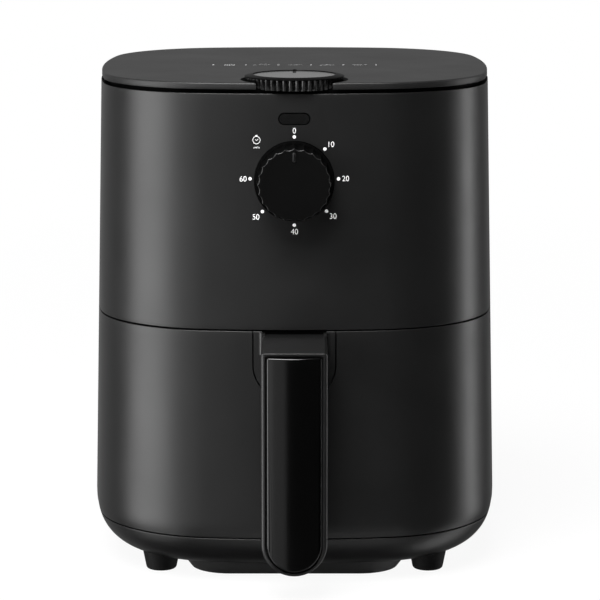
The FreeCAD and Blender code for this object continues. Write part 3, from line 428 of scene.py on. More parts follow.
def finish(name, effect, dark, light, rough, bump, depth, extra, **fixed):
    # one shader fed by a shared effect: its colour, roughness and height
    material = bpy.data.materials.new(name)
    material.use_nodes = True
    tree = material.node_tree
    shader = tree.nodes["Principled BSDF"]
    group = tree.nodes.new("ShaderNodeGroup")
    group.node_tree = effects[effect]
    values = {"Dark": colour(dark), "Light": colour(light), "Rough Low": rough[0], "Rough High": rough[1]}
    for label, value in {**values, **extra}.items():
        group.inputs[label].default_value = value
    raised = tree.nodes.new("ShaderNodeBump")
    raised.inputs["Strength"].default_value = bump
    raised.inputs["Distance"].default_value = depth * mm
    wire(tree, (group.outputs["Colour"], shader.inputs["Base Color"]),
         (group.outputs["Roughness"], shader.inputs["Roughness"]),
         (group.outputs["Height"], raised.inputs["Height"]), (raised.outputs["Normal"], shader.inputs["Normal"]))
    for label, value in fixed.items():
        shader.inputs[label.replace("_", " ")].default_value = value
    return material


def plastic(name, dark, light, rough, bump, depth, grain=2400.0, **fixed):
    return finish(name, "grain", dark, light, rough, bump, depth, {"Grain": grain}, **fixed)


def metal(name, dark, light, rough, bump, depth, stretch=(40.0, 900.0, 900.0)):
    return finish(name, "sheet", dark, light, rough, bump, depth, {"Stretch": stretch}, Metallic=1.0)


satin = plastic("satinBlack", dark=0.0034, light=0.005, rough=(0.36, 0.41), bump=0.12, depth=0.05)
coverSatin = plastic("coverSatin", dark=0.0038, light=0.0052, rough=(0.46, 0.52), bump=0.12, depth=0.05)
# painted shade: a near-black copy with almost no reflection, used for the timer dial's flanks, the lip in the
# cover's gap and the plate behind the handle's slot
shadeBlack = plastic("shadeBlack", dark=0.0014, light=0.002, rough=(0.46, 0.54), bump=0.08, depth=0.03,
                    Specular_IOR_Level=0.01)
# painted light: copies of the timer dial's black, the cap's with weak reflection for painted shade and the edge's
# lighter and glossier for a painted highlight
dialCap = plastic("dialCap", dark=0.0017, light=0.0026, rough=(0.42, 0.48), bump=0.1, depth=0.04,
                  Specular_IOR_Level=0.06)
dialEdgeHighlight = plastic("dialEdgeHighlight", dark=0.004, light=0.006, rough=(0.30, 0.36), bump=0.04, depth=0.02)
knurlBlack = plastic("knurlBlack", dark=0.002, light=0.004, rough=(0.16, 0.22), bump=0.06, depth=0.03)
# painted shade: a copy of the heat dial's black with almost no reflection, darkening its rim ring
rimShadeBlack = plastic("rimShadeBlack", dark=0.0015, light=0.0025, rough=(0.34, 0.40), bump=0.08, depth=0.03,
                   Specular_IOR_Level=0.02)
dialFace = plastic("dialFace", dark=0.032, light=0.055, rough=(0.14, 0.18), bump=0.06, depth=0.03,
                   grain=3200.0)
polished = plastic("polishedBlack", dark=0.0003, light=0.0006, rough=(0.15, 0.18), bump=0.01, depth=0.01,
                   grain=300.0)
lensDark = plastic("lensDark", dark=0.0035, light=0.005, rough=(0.12, 0.18), bump=0.01, depth=0.01)
innerBlack = plastic("innerBlack", dark=0.012, light=0.018, rough=(0.5, 0.6), bump=0.15, depth=0.06,
                     grain=1500.0)
softRubber = plastic("softRubber", dark=0.002, light=0.0035, rough=(0.6, 0.72), bump=0.2, depth=0.06,
                     grain=1800.0, Specular_IOR_Level=0.2)
silicone = plastic("silicone", dark=0.018, light=0.024, rough=(0.5, 0.58), bump=0.08, depth=0.04)
windingTape = plastic("windingTape", dark=(0.24, 0.12, 0.03), light=(0.34, 0.18, 0.06), rough=(0.35, 0.5),
                      bump=0.2, depth=0.08, grain=500.0)
whitePrint = plastic("whitePrint", dark=0.80, light=0.88, rough=(0.55, 0.65), bump=0.05, depth=0.01)
palePrint = plastic("palePrint", dark=0.30, light=0.36, rough=(0.55, 0.65), bump=0.05, depth=0.01)
galvanised = metal("galvanised", dark=(0.40, 0.41, 0.42), light=(0.58, 0.59, 0.60), rough=(0.25, 0.4),
                   bump=0.04, depth=0.02)
brightSteel = metal("brightSteel", dark=0.48, light=0.6, rough=(0.2, 0.3), bump=0.03, depth=0.02)
heaterSheath = metal("heaterSheath", dark=(0.16, 0.13, 0.11), light=(0.26, 0.24, 0.22), rough=(0.4, 0.55),
                     bump=0.08, depth=0.03, stretch=(300.0, 300.0, 300.0))
pressedAlloy = metal("pressedAlloy", dark=0.55, light=0.66, rough=(0.3, 0.42), bump=0.05, depth=0.02,
                     stretch=(250.0, 250.0, 600.0))
laminated = metal("laminated", dark=0.2, light=0.32, rough=(0.4, 0.55), bump=0.5, depth=0.15,
                  stretch=(8.0, 8.0, 2200.0))
nonStick = finish("nonStick", "coat", dark=0.014, light=0.075, rough=(0.35, 0.5), bump=0.15, depth=0.05,
                  extra={})
print("finishes ready")

shellSet = {
    "soft": 0.35 * mm, "upperRows": 36, "upperInner": 12, "drawerRows": 30, "drawerInner": 16,
    "lipOuter": 4.4 * mm, "lipInner": 6.2 * mm, "lipDrop": 6 * mm, "timerZ": 259.3 * mm, "recess": 25.1 * mm,
    "recessDepth": 2.6 * mm, "bossWall": 3 * mm, "bossStart": 1.5 * mm, "bossDepth": 10 * mm,
    "shaftHole": 4 * mm, "holeDepth": 12 * mm, "overcut": 9 * mm, "ventWidth": 88 * mm, "ventHeight": 32 * mm,
    "ventZ": 190 * mm, "ventDepth": 30 * mm, "cordHole": 8.02 * mm, "cordCut": (100 * mm, 160 * mm),
}
plateSet = {"overlap": 0.5 * mm, "near": 0.2 * mm, "far": 2.5 * mm, "soffitRear": -82 * mm,
            "lidRear": -80 * mm}
lensSet = {"z": 297.9 * mm, "width": 20.1 * mm, "height": 7.7 * mm, "gap": 0.7 * mm, "rim": 0.7 * mm,
           "dome": 0.5 * mm, "sunk": 0.45 * mm, "back": 3.4 * mm}


def lensOutline(grow):
    w, h = lensSet["width"] / 2 + grow, lensSet["height"] / 2 + grow
    return -w, w, lensSet["z"] - h, lensSet["z"] + h, h, h


def upperShell():
    top, rim, seam, wall = body["housingTop"], body["coverZ"], body["midSeam"], body["wall"]
    outer, inner, under = shellSet["lipOuter"], shellSet["lipInner"], top - shellSet["lipDrop"]
    profile = roundedWall(seam, top, shellSet["upperRows"], shellSet["soft"])
    profile += [(outer, top), (outer, rim), (inner, rim), (inner, under), (wall, under)]
    profile += [(wall, z) for z in levels(under, seam, shellSet["upperInner"])[1:]]
    obj = loose("upperShell", moveBody(ringStack(profile)))
    timerZ, over = shellSet["timerZ"], shellSet["overcut"]
    face = frontY(0, timerZ)
    boss = rod("timerBoss", shellSet["recess"] + shellSet["bossWall"],
               (0, face + shellSet["bossStart"], timerZ), (0, face + shellSet["bossDepth"], timerZ))
    carve(obj, [boss], "UNION")
    start = (0, face - over, timerZ)
    recess = rod("recess", shellSet["recess"], start, (0, face + shellSet["recessDepth"], timerZ))
    hole = rod("hole", shellSet["shaftHole"], start, (0, face + shellSet["holeDepth"], timerZ), 48)
    slot = outlineSolid("slot", lensOutline(0), face - over, face + over)
    half, z0, rear = shellSet["ventWidth"] / 2, shellSet["ventZ"], body["halfDepth"]
    vent = outlineSolid("vent", (-half, half, z0, z0 + shellSet["ventHeight"], 0, 0),
                        rear - shellSet["ventDepth"], rear + over)
    carve(obj, [recess, hole, slot, vent])
    soffit = planPlate(wall - plateSet["overlap"], seam + plateSet["near"], seam + plateSet["far"],
                       plateSet["soffitRear"])
    floor = bmesh.new()
    floor.from_mesh(obj.data)
    addTo(floor, moveBody(soffit))
    floor.to_mesh(obj.data)
    floor.free()
    obj.data.set_sharp_from_angle(angle=math.radians(32))
    piece(obj, "housing", satin, "shell", "upper_housing")
    obj.data.materials.append(shadeBlack)
    for p in obj.data.polygons:  # painted shade: the lip and the ledge under the cover take the near-black, barely reflecting finish, standing for the shade in the gap
        if p.center.z > top + 2 * near or p.normal.z > 0.95 and p.center.z > top - near:
            p.material_index = 1
    return obj


def drawerRing():
    wall = body["wall"]
    profile = roundedWall(body["drawerBottom"], body["drawerTop"], shellSet["drawerRows"], shellSet["soft"])
    profile += [(wall, z) for z in levels(body["drawerTop"], body["drawerBottom"], shellSet["drawerInner"])]
    return ringStack(profile)


def rearShell():
    bm = drawerRing()
    keepSide(bm, body["splitY"] + body["splitHalf"], front=False)
    obj = loose("rearShell", moveBody(bm))
    z = (gland[0].z + gland[1].z) / 2
    y0, y1 = shellSet["cordCut"]
    carve(obj, [rod("cordHole", shellSet["cordHole"], (0, y0, z), (0, y1, z), 64)])
    return piece(obj, "housing", satin, "shell", "rear_housing")


mountSet = {"width": 51 * mm, "drop": 42.4 * mm, "corner": 21 * mm, "groove": 0.85 * mm, "above": 5 * mm,
            "front": -150 * mm, "back": -110 * mm, "rear": -100 * mm}


def mountOutline(grow):
    half = mountSet["width"] / 2 + grow
    top = body["drawerTop"]
    return -half, half, top - mountSet["drop"] - grow, top + mountSet["above"], mountSet["corner"] + grow, 0, 20


def drawerFace():
    bm = drawerRing()
    keepSide(bm, body["splitY"] - body["splitHalf"], front=True)
    obj = loose("drawerFace", moveBody(bm))
    carve(obj, [outlineSolid("rootGap", mountOutline(mountSet["groove"]), mountSet["front"], mountSet["rear"])])
    return piece(obj, "drawer", satin, "shell", "drawer_front")


def handleRoot():
    bm = drawerRing()
    keepSide(bm, mountSet["rear"], front=True)
    obj = loose("handleRoot", moveBody(bm))
    carve(obj, [outlineSolid("rootShape", mountOutline(0), mountSet["front"], mountSet["back"])], "INTERSECT")
    half = gripSet["width"] / 2 - gripSet["slotInset"]
    slot = (-half, half, gripSet["neckTop"] - gripSet["slotDrop"], body["drawerTop"] + mountSet["above"], 0, 0)
    carve(obj, [outlineSolid("slot", slot, mountSet["front"], mountSet["rear"])])
    return obj


baseSet = {"rows": 18, "lipDrop": 0.7 * mm, "shelf": 2 * mm, "floor": 6 * mm, "innerRows": 6}


def baseTray():
    wall, seam, floorZ, soft = body["wall"], body["lowSeam"], body["baseZ"], shellSet["soft"]
    rows, inner = baseSet["rows"], wall + baseSet["shelf"]
    profile = [(0, floorZ + (seam - baseSet["lipDrop"] - floorZ) * (i / rows) ** 2) for i in range(rows + 1)]
    profile += [(soft * (1 - math.cos(t)), seam - soft * (1 - math.sin(t))) for t in quarter(5)[1:]]
    profile += [(inner, z) for z in levels(seam, floorZ + baseSet["floor"], baseSet["innerRows"])]
    bm = ringStack(profile, capped=True)
    addTo(bm, planPlate(wall - plateSet["overlap"], seam - plateSet["far"], seam - plateSet["near"],
                        plateSet["lidRear"]))
    return piece(loose("baseTray", moveBody(bm)), "housing", satin, "shell", "base_pan")


upperShell()
rearShell()
drawerFace()
baseTray()
print("body shells ready")

coverSet = {"inset": 0.4 * mm, "round": 1.1 * mm, "lip": 0.4 * mm, "lipMid": 0.12 * mm, "well": 33.7 * mm,
            "floor": 314.9 * mm, "floorGrow": 2.4 * mm, "floorThick": 2.3 * mm, "dialY": -105 * mm,
            "notch": 1.7 * mm, "crease": 0.35 * mm, "overcut": 5 * mm, "rings": (4, 8, 14, 22, 32, 46),
            "room": (300 * mm, 319 * mm), "roomInset": 5.2 * mm}


def topCover():
    low, high, inset, radius = body["coverZ"], body["topZ"], coverSet["inset"], coverSet["round"]
    lip, middle, over = coverSet["lip"], coverSet["lipMid"], coverSet["overcut"]
    profile = [(inset + lip, low), (inset + middle, low + middle), (inset, low + lip)]
    profile += [(inset, z) for z in levels(low + lip, high - radius, 2)[1:-1]]
    profile += [(inset + radius * (1 - math.cos(t)), high - radius * (1 - math.sin(t))) for t in quarter(6)]
    profile += [(inset + step * mm, high) for step in coverSet["rings"]]
    obj = loose("topCover", moveBody(ringStack(profile, capped=True)))
    y = coverSet["dialY"]
    carve(obj, [rod("well", coverSet["well"], (0, y, low - over), (0, y, high + over), 160)])
    roundEdges(obj, coverSet["notch"], lambda e: upright(e) and e.calc_face_angle(0) > 0.6)
    roundEdges(obj, coverSet["crease"], lambda e: e.calc_face_angle(0) > 0.87, 2)
    for p in obj.data.polygons:
        p.use_smooth = p.normal.z < 0.9999
    return piece(obj, "housing", coverSatin, "top", "top_cover")


def wellFloor():
    bm = bmesh.new()
    bmesh.ops.create_circle(bm, cap_ends=True, segments=160, radius=coverSet["well"] + coverSet["floorGrow"])
    bmesh.ops.translate(bm, vec=(0, coverSet["dialY"], coverSet["floor"]), verts=bm.verts)
    obj = loose("wellFloor", moveBody(pushed(bm, (0, 0, -coverSet["floorThick"]))))
    room = ringStack([(coverSet["roomInset"], z) for z in coverSet["room"]], capped=True)
    carve(obj, [loose("room", moveBody(room))], "INTERSECT")
    return piece(obj, "housing", innerBlack, "top", "top_cover")


topCover()
wellFloor()
print("cover ready")

gripSet = {
    "width": 41 * mm, "front": -174.8 * mm, "thick": 12.8 * mm, "bottom": 18 * mm, "top": 158.9 * mm,
    "neckTop": 162.8 * mm, "neckUnder": 130.8 * mm, "fillet": 9 * mm, "margin": 2.6 * mm, "topMargin": 1.6 * mm,
    "pocket": 2.4 * mm, "crown": 2.5 * mm, "crownTop": 200 * mm, "corner": 1.2 * mm, "soft": 0.5 * mm,
    "groove": 1.05 * mm, "rim": 2.2 * mm, "edge": 0.9 * mm, "proud": 0.7 * mm, "overcut": 5 * mm,
    "inlayOver": 4 * mm, "outlineRise": 20 * mm, "crestDrop": 1 * mm, "rootY": -130.5 * mm, "root": 2.2 * mm,
    "rootSink": 2 * mm, "rootInset": 0.2 * mm, "rootDrop": 0.9 * mm, "filletLow": 150 * mm,
    "slotY": -131.2 * mm, "slotThick": 0.6 * mm, "slotDrop": 2 * mm, "slotGap": 0.2 * mm, "slotInset": 0.4 * mm,
}


def gripBar():
    front, back, over = gripSet["front"], gripSet["front"] + gripSet["thick"], gripSet["overcut"]
    under, bottom, root = gripSet["neckUnder"], gripSet["bottom"], gripSet["rootY"]
    side = [(root, gripSet["neckTop"]), (front, gripSet["top"]), (front, bottom), (back, bottom), (back, under),
            (root, under)]
    half = gripSet["width"] / 2
    bm = bmesh.new()
    corners = [bm.verts.new((-half - over, y, z)) for y, z in side]
    bm.faces.new(corners)
    roundCorners(bm, corners[4:5], gripSet["fillet"], 10)
    pushed(bm, (gripSet["width"] + 2 * over, 0, 0))
    obj = loose("gripBar", moveBody(bm))
    outline = (-half, half, bottom, gripSet["neckTop"] + gripSet["outlineRise"], half, 0, 24)
    carve(obj, [outlineSolid("gripOutline", outline, front - over, root + over)], "INTERSECT")
    face = front + body["shiftY"] + 2 * near
    crest = gripSet["top"] - gripSet["crestDrop"]

    def outerRim(e):
        low = min(v.co.z for v in e.verts)
        onFace = all(v.co.y < face for v in e.verts)
        return onFace and low < crest and e.calc_face_angle(0) > 0.6 or lengthwise(e) and low > crest

    roundEdges(obj, gripSet["rim"], outerRim)
    carve(obj, [outlineSolid("pocket", inlayOutline(0), front - over, front + gripSet["pocket"])])
    soften(obj, gripSet["soft"], 4)
    return obj


def neckFillet(side):
    # hollow corner where the neck meets the drawer's face, leaning with the face
    half, radius, sink = gripSet["width"] / 2 - gripSet["rootInset"], gripSet["root"], gripSet["rootSink"]
    low, high = gripSet["filletLow"], body["drawerTop"] - gripSet["rootDrop"]
    wall = frontY(half, low)
    plan = [(half - sink, wall + sink), (half + radius, wall + sink), (half + radius, wall), (half, wall),
            (half, wall - radius), (half - sink, wall - radius)]
    bm = bmesh.new()
    corners = [bm.verts.new((side * x, y, low)) for x, y in plan]
    bm.faces.new(corners)
    roundCorners(bm, corners[3:4], radius * 0.999, 8)
    pushed(bm, (0, 0, high - low))
    for v in bm.verts:
        v.co.y += (v.co.z - low) * body["draft"]
    return loose("neckFillet", moveBody(bm), 40)


# painted shade: a dark plate set behind the handle's slot, standing for the shade at the back of the slot
def slotShadePlate():
    half, y = gripSet["width"] / 2, gripSet["slotY"]
    low, high = gripSet["neckTop"] - gripSet["slotDrop"], body["drawerTop"] - gripSet["slotGap"]
    return outlineSolid("slotShadePlate", (-half, half, low, high, 0, 0), y, y + gripSet["slotThick"])


def inlayOutline(inset):
    half = gripSet["width"] / 2 - gripSet["margin"] - inset
    low = gripSet["bottom"] + gripSet["margin"] + inset
    return -half, half, low, gripSet["top"] - gripSet["topMargin"] - inset, half, gripSet["corner"], 24


def inlayGloss():
    half = gripSet["width"] / 2 - gripSet["margin"]
    front, crown = gripSet["front"] - gripSet["proud"], gripSet["crown"]
    radius = (half ** 2 + crown ** 2) / (2 * crown)
    obj = outlineSolid("inlayGloss", inlayOutline(gripSet["groove"]), front - crown - gripSet["inlayOver"],
                       gripSet["front"] + gripSet["pocket"])
    y = front - crown + radius
    carve(obj, [rod("crown", radius, (0, y, 0), (0, y, gripSet["crownTop"]), 180)], "INTERSECT")
    soften(obj, gripSet["edge"], 4, 40, clamp=False)
    return piece(obj, "drawer", polished, "gloss", "handle_inlay")


def joinInto(obj, other):
    bm = bmesh.new()
    bm.from_mesh(obj.data)
    bm.from_mesh(other.data)
    bpy.data.objects.remove(other)
    bm.to_mesh(obj.data)
    bm.free()
    obj.data.set_sharp_from_angle(angle=math.radians(40))


grip = gripBar()
for part in (handleRoot(), neckFillet(-1), neckFillet(1)):
    joinInto(grip, part)
piece(grip, "drawer", satin, "shell", "handle_body")
# painted shade: the dark plate behind the handle's slot
piece(slotShadePlate(), "drawer", shadeBlack, "inner_plastic")
inlayGloss()
print("handle ready")

timerSet = {  # rows of the profile are (shrink, height) and (shrink, height, ridged) in mm
    "radius": 23.1 * mm, "reach": 20 * mm, "scallops": 24, "depth": 1.1 * mm, "flange": 24.8 * mm,
    "stepsPerScallop": 12, "edge": 0.65 * mm, "taper": 0.3 * mm, "pointer": (1.2 * mm, 14.2 * mm, 20.3 * mm),
    "pointerSunk": 1.2 * mm, "pointerRise": 1.1 * mm, "pointerSoft": 0.95 * mm, "edgeShare": 0.75,
    "flangeRows": [(0, -2.2), (0, 0.6), (0.3, 1.0)], "capRows": (2.4, 6, 14),
    "gripRows": [(-0.6, 1.2, 0), (-0.6, 1.3, 1), (0.1, 10, 1)],
}


def scalloped(angle, radius, count, depth):
    # pointed ridges with hollows between them
    pitch = 2 * math.pi / count
    part = (angle % pitch) / pitch * 2 - 1
    return radius - depth * (1 - part ** 2)


def dialRings(bm, rows, radiusAt, steps, axis):
    # rows of (shrink, height, ridged) pulled into rings about the dial's axis
    bmesh.ops.create_circle(bm, cap_ends=False, segments=steps, radius=1)
    edges = bm.edges[:]
    first = edges
    verts = bm.verts[:]
    for i, (shrink, height, ridged) in enumerate(rows):
        if i:
            made = bmesh.ops.extrude_edge_only(bm, edges=edges)["geom"]
            edges, verts = edgesIn(made), vertsIn(made)
        for v in verts:
            angle = math.atan2(v.co.y, v.co.x)
            radius = radiusAt(angle, ridged) - shrink
            v.co = (radius * math.cos(angle), radius * math.sin(angle), height)
    bmesh.ops.holes_fill(bm, edges=first)
    bmesh.ops.holes_fill(bm, edges=edges)
    bmesh.ops.recalc_face_normals(bm, faces=bm.faces)
    bmesh.ops.transform(bm, matrix=axis, verts=bm.verts)


def ridge(half, start, end, low, high, soft=0.25 * mm):
    # small bevelled pointer bar standing on a dial's face
    bm = bmesh.new()
    bmesh.ops.create_cube(bm, size=1)
    bmesh.ops.scale(bm, vec=(2 * half, end - start, high - low), verts=bm.verts)
    bmesh.ops.translate(bm, vec=(0, (start + end) / 2, (low + high) / 2), verts=bm.verts)
    bmesh.ops.bevel(bm, geom=bm.edges[:], offset=soft, offset_type="OFFSET", affect="EDGES", segments=2,
                    profile=0.5, material=-1)
    return bm


def timerDial():
    z = shellSet["timerZ"]
    face = frontY(0, z)
    radius, reach, edge, taper = timerSet["radius"], timerSet["reach"], timerSet["edge"], timerSet["taper"]
    axis = Matrix.Translation((0, face + body["shiftY"], z)) @ Matrix.Rotation(math.radians(90), 4, "X")
    steps = timerSet["scallops"] * timerSet["stepsPerScallop"]

    def radiusAt(angle, ridged):
        hollow = timerSet["depth"] if ridged else 0
        return scalloped(angle, radius, timerSet["scallops"], hollow)

    flare = timerSet["flange"] - radius
    rows = [(shrink * mm - flare, height * mm, 0) for shrink, height in timerSet["flangeRows"]]
    rows += [(shrink * mm, height * mm, ridged) for shrink, height, ridged in timerSet["gripRows"]]
    rows += [(taper + edge * (1 - math.cos(t)), reach - edge + edge * math.sin(t), 1) for t in quarter(4)]
    rows += [(shrink * mm, reach, 0) for shrink in timerSet["capRows"]]
    bm = bmesh.new()
    dialRings(bm, rows, radiusAt, steps, axis)
    low, high = reach - timerSet["pointerSunk"], reach + timerSet["pointerRise"]
    mark = ridge(*timerSet["pointer"], low, high, timerSet["pointerSoft"])
    bmesh.ops.transform(mark, matrix=axis, verts=mark.verts)
    addTo(bm, mark)
    obj = piece(loose("timerDial", bm, 38), "timer_dial", shadeBlack, "dial", "timer_knob")
    obj.data.materials.append(dialEdgeHighlight)
    obj.data.materials.append(dialCap)
    edgeY = face + body["shiftY"] - reach + timerSet["edgeShare"] * edge
    # painted light: faces take lit and shaded copies of one black by the way they face: a lighter, glossier edge
    # for a painted highlight, a weakly reflecting cap and nearly unreflecting flanks for painted shade
    for p in obj.data.polygons:
        if p.center.y < edgeY:
            p.material_index = 1 if -0.97 < p.normal.y else 2
    return obj


heatSet = {  # rows of the profile are (shrink, height, ridged) in mm, from the foot and from the top
    "radius": 31.2 * mm, "low": 315.2 * mm, "high": 323.4 * mm, "sunk": 0.55 * mm, "flutes": 46,
    "stepsPerFlute": 10, "depth": 1.5 * mm, "pointer": (1.2 * mm, 25.4 * mm, 27.4 * mm),
    "pointerSunk": 1.5 * mm, "pointerRise": 0.25 * mm, "mark": (1.1 * mm, 13 * mm, 23.5 * mm),
    "markSunk": 1 * mm, "markRise": 0.12 * mm,
    "footRows": [(2.4, 0, 0), (0.9, 0.1, 1), (0.6, 0.5, 1)],
    "rimRows": [(0.5, -1.7, 1), (0.5, -1.6, 0), (0.1, -1.5, 0), (0, -1.3, 0), (0.1, -1, 0), (0.5, -0.8, 0),
                (4.6, -0.06, 0), (4.9, 0, 0), (5.3, -0.06, 0)],
    "faceRows": (5.6, 8, 18), "rimDrop": 1.55 * mm,
}


def heatDial():
    low, high, radius = heatSet["low"], heatSet["high"], heatSet["radius"]
    axis = Matrix.Translation((0, coverSet["dialY"] + body["shiftY"], 0))

    def radiusAt(angle, ridged):
        if not ridged:
            return radius
        wave = 0.5 + 0.5 * math.cos(angle * heatSet["flutes"])
        return radius - heatSet["depth"] * (1 - wave ** 0.5)

    face = high - heatSet["sunk"]
    rows = [(shrink * mm, low + height * mm, ridged) for shrink, height, ridged in heatSet["footRows"]]
    rows += [(shrink * mm, high + height * mm, ridged) for shrink, height, ridged in heatSet["rimRows"]]
    rows += [(shrink * mm, face, 0) for shrink in heatSet["faceRows"]]
    bm = bmesh.new()
    dialRings(bm, rows, radiusAt, heatSet["flutes"] * heatSet["stepsPerFlute"], axis)
    nub = ridge(*heatSet["pointer"], high - heatSet["pointerSunk"], high + heatSet["pointerRise"])
    addTo(nub, ridge(*heatSet["mark"], high - heatSet["markSunk"], face + heatSet["markRise"]))
    bmesh.ops.transform(nub, matrix=axis, verts=nub.verts)
    addTo(bm, nub)
    obj = loose("heatDial", bm, 38)
    piece(obj, "temperature_dial", knurlBlack, "dial", "temperature_knob")
    obj.data.materials.append(dialFace)
    obj.data.materials.append(rimShadeBlack)
    # painted shade: the rim ring, nub and mark sides take the nearly unreflecting copy of the black; the flat face
    # keeps its own lighter grey
    for p in obj.data.polygons:
        if p.center.z > high - heatSet["rimDrop"]:
            p.material_index = 1 if p.normal.z > 0.999 and abs(p.center.z - face) < near else 2
    return obj


def lampLens():
    bm = outlineFace(*lensOutline(-lensSet["gap"]))
    bm.faces.ensure_lookup_table()
    face = bm.faces[0]
    rim = bmesh.ops.inset_region(bm, faces=[face], thickness=lensSet["rim"], use_even_offset=True)["faces"]
    made = bmesh.ops.extrude_face_region(bm, geom=rim + [face])["geom"]
    back = vertsIn(made)
    for v in bm.verts:
        v.co.y = frontY(v.co.x, v.co.z) + lensSet["back" if v in back else "sunk"]
    for v in face.verts:
        v.co.y -= lensSet["dome"]
    bmesh.ops.recalc_face_normals(bm, faces=bm.faces)
    return piece(loose("lampLens", moveBody(bm), 40), "housing", lensDark, "lens", "indicator_lens")


timerDial()
heatDial()
lampLens()
print("dials ready")

markSet = {"dotRing": 27.45 * mm, "dot": 1.08 * mm, "digit": 3.45 * mm, "squeeze": 0.94, "bold": -0.02 * mm,
           "lift": 0.05 * mm, "clock": (-23.4 * mm, 25.4 * mm), "clockSize": 2.45 * mm,
           "unit": (-23.4 * mm, 20.9 * mm), "unitSize": 1.6 * mm, "unitStretch": 1.2, "capShare": 0.7,
           "clockLine": 0.34 * mm, "hands": ((45, 0.45), (-50, 0.6)), "hand": 0.16 * mm, "handDrop": 0.3 * mm,
           "crown": 0.6 * mm, "crownSunk": 0.1 * mm}
minuteSet = {  # minutes: turn in degrees, label place in mm
    "0": (0, 0, 31.3), "10": (43.5, 22.9, 22.8), "20": (87.2, 31.8, 1.5), "30": (133.2, 24.1, -21.9),
    "40": (180, 0.1, -31.5), "50": (226.2, -23.8, -22.4), "60": (272.8, -31.7, 1.3),
}


def textMesh(words, size, squeeze):
    curve = bpy.data.curves.new("words", "FONT")
    curve.body = words
    curve.size = size / markSet["capShare"]  # letters stand lower than the set size
    curve.offset = markSet["bold"]
    curve.align_x = "CENTER"
    curve.align_y = "CENTER"
    obj = bpy.data.objects.new("words", curve)
    bpy.context.scene.collection.objects.link(obj)
    view = bpy.context.evaluated_depsgraph_get()
    mesh = bpy.data.meshes.new_from_object(obj.evaluated_get(view))
    bpy.data.objects.remove(obj)
    bm = bmesh.new()
    bm.from_mesh(mesh)
    bpy.data.meshes.remove(mesh)
    bmesh.ops.scale(bm, vec=(squeeze, 1, 1), verts=bm.verts)
    xs = [v.co.x for v in bm.verts]
    ys = [v.co.y for v in bm.verts]
    bmesh.ops.translate(bm, vec=(-(min(xs) + max(xs)) / 2, -(min(ys) + max(ys)) / 2, 0), verts=bm.verts)
    return bm


def disc(radius, x, y, segments=32, inner=0.0):
    bm = bmesh.new()
    bmesh.ops.create_circle(bm, cap_ends=not inner, segments=segments, radius=radius)
    if inner:
        bmesh.ops.create_circle(bm, cap_ends=False, segments=segments, radius=inner)
        bmesh.ops.bridge_loops(bm, edges=bm.edges[:])
    bmesh.ops.translate(bm, vec=(x, y, 0), verts=bm.verts)
    return bm


def bar(x0, x1, y0, y1):
    bm = bmesh.new()
    bmesh.ops.create_grid(bm, x_segments=1, y_segments=1, size=0.5)
    bmesh.ops.scale(bm, vec=(x1 - x0, y1 - y0, 1), verts=bm.verts)
    bmesh.ops.translate(bm, vec=((x0 + x1) / 2, (y0 + y1) / 2, 0), verts=bm.verts)
    return bm


def shifted(bm, x, y):
    bmesh.ops.translate(bm, vec=(x, y, 0), verts=bm.verts)
    return bm


def dialMarks():
    marks = bmesh.new()
    for minutes, (degrees, x, y) in minuteSet.items():
        turn = math.radians(degrees)
        ring = markSet["dotRing"]
        addTo(marks, disc(markSet["dot"], ring * math.sin(turn), ring * math.cos(turn)))
        label = textMesh(minutes, markSet["digit"], markSet["squeeze"])
        addTo(marks, shifted(label, x * mm, y * mm))
    x, y = markSet["clock"]
    size, thin, crown = markSet["clockSize"], markSet["hand"], markSet["crown"]
    addTo(marks, disc(size, x, y, 40, size - markSet["clockLine"]))
    for turn, reach in markSet["hands"]:
        hand = bar(-thin, thin, -thin, size * reach)
        bmesh.ops.rotate(hand, matrix=Matrix.Rotation(math.radians(turn), 3, "Z"), verts=hand.verts)
        addTo(marks, shifted(hand, x, y - markSet["handDrop"]))
    addTo(marks, bar(x - crown, x + crown, y + size - markSet["crownSunk"], y + size + crown))
    addTo(marks, shifted(textMesh("min", markSet["unitSize"], markSet["unitStretch"]), *markSet["unit"]))
    for v in marks.verts:
        x, z = v.co.x, v.co.y + shellSet["timerZ"]
        v.co = (x, frontY(x, z) - markSet["lift"], z)
    for f in marks.faces:
        if f.normal.y > 0:
            f.normal_flip()
    return piece(loose("dialMarks", moveBody(marks)), "housing", whitePrint, "dial")


foodSet = {"y": -8 * mm, "pitch": 21.4 * mm, "line": 0.5 * mm, "reach": 3.2 * mm}
signSet = {  # plain food signs in mm: bars as x0, x1, y0, y1 and discs as radius, x, y, segments, inner radius
    "chips": [(-3.2, 3.2, -5, -4.2), (-3.4, -2.6, -3.6, 3), (-1.9, -1.1, -3.6, 3.75), (-0.4, 0.4, -3.6, 4.5),
              (1.1, 1.9, -3.6, 3.75), (2.6, 3.4, -3.6, 3)],
    "leg": [(3.4, 1.6, 1.4, 40, 2.8), (-4.6, -1.4, -1.0, -0.2), (0.9, -5, -1.4, 20, 0)],
    "fish": [(3.0, -1, 0, 40, 2.4), (2.4, 5, 0.9, 1.5), (2.4, 5, -1.5, -0.9), (0.5, -2.2, 0.6, 16, 0)],
    "cake": [(-4.4, 4.4, -4, -3.3), (-4.4, 4.4, -0.4, 0.3), (-4.4, -3.8, -3.3, -0.4), (3.8, 4.4, -3.3, -0.4),
             (0.9, 0, 2.2, 20, 0)],
    "root": [(-4.8, 2, -0.9, 0.9), (2.3, 5, -0.3, 0.3), (2.3, 4.4, 1.2, 1.8), (2.3, 4.4, -1.8, -1.2)],
}


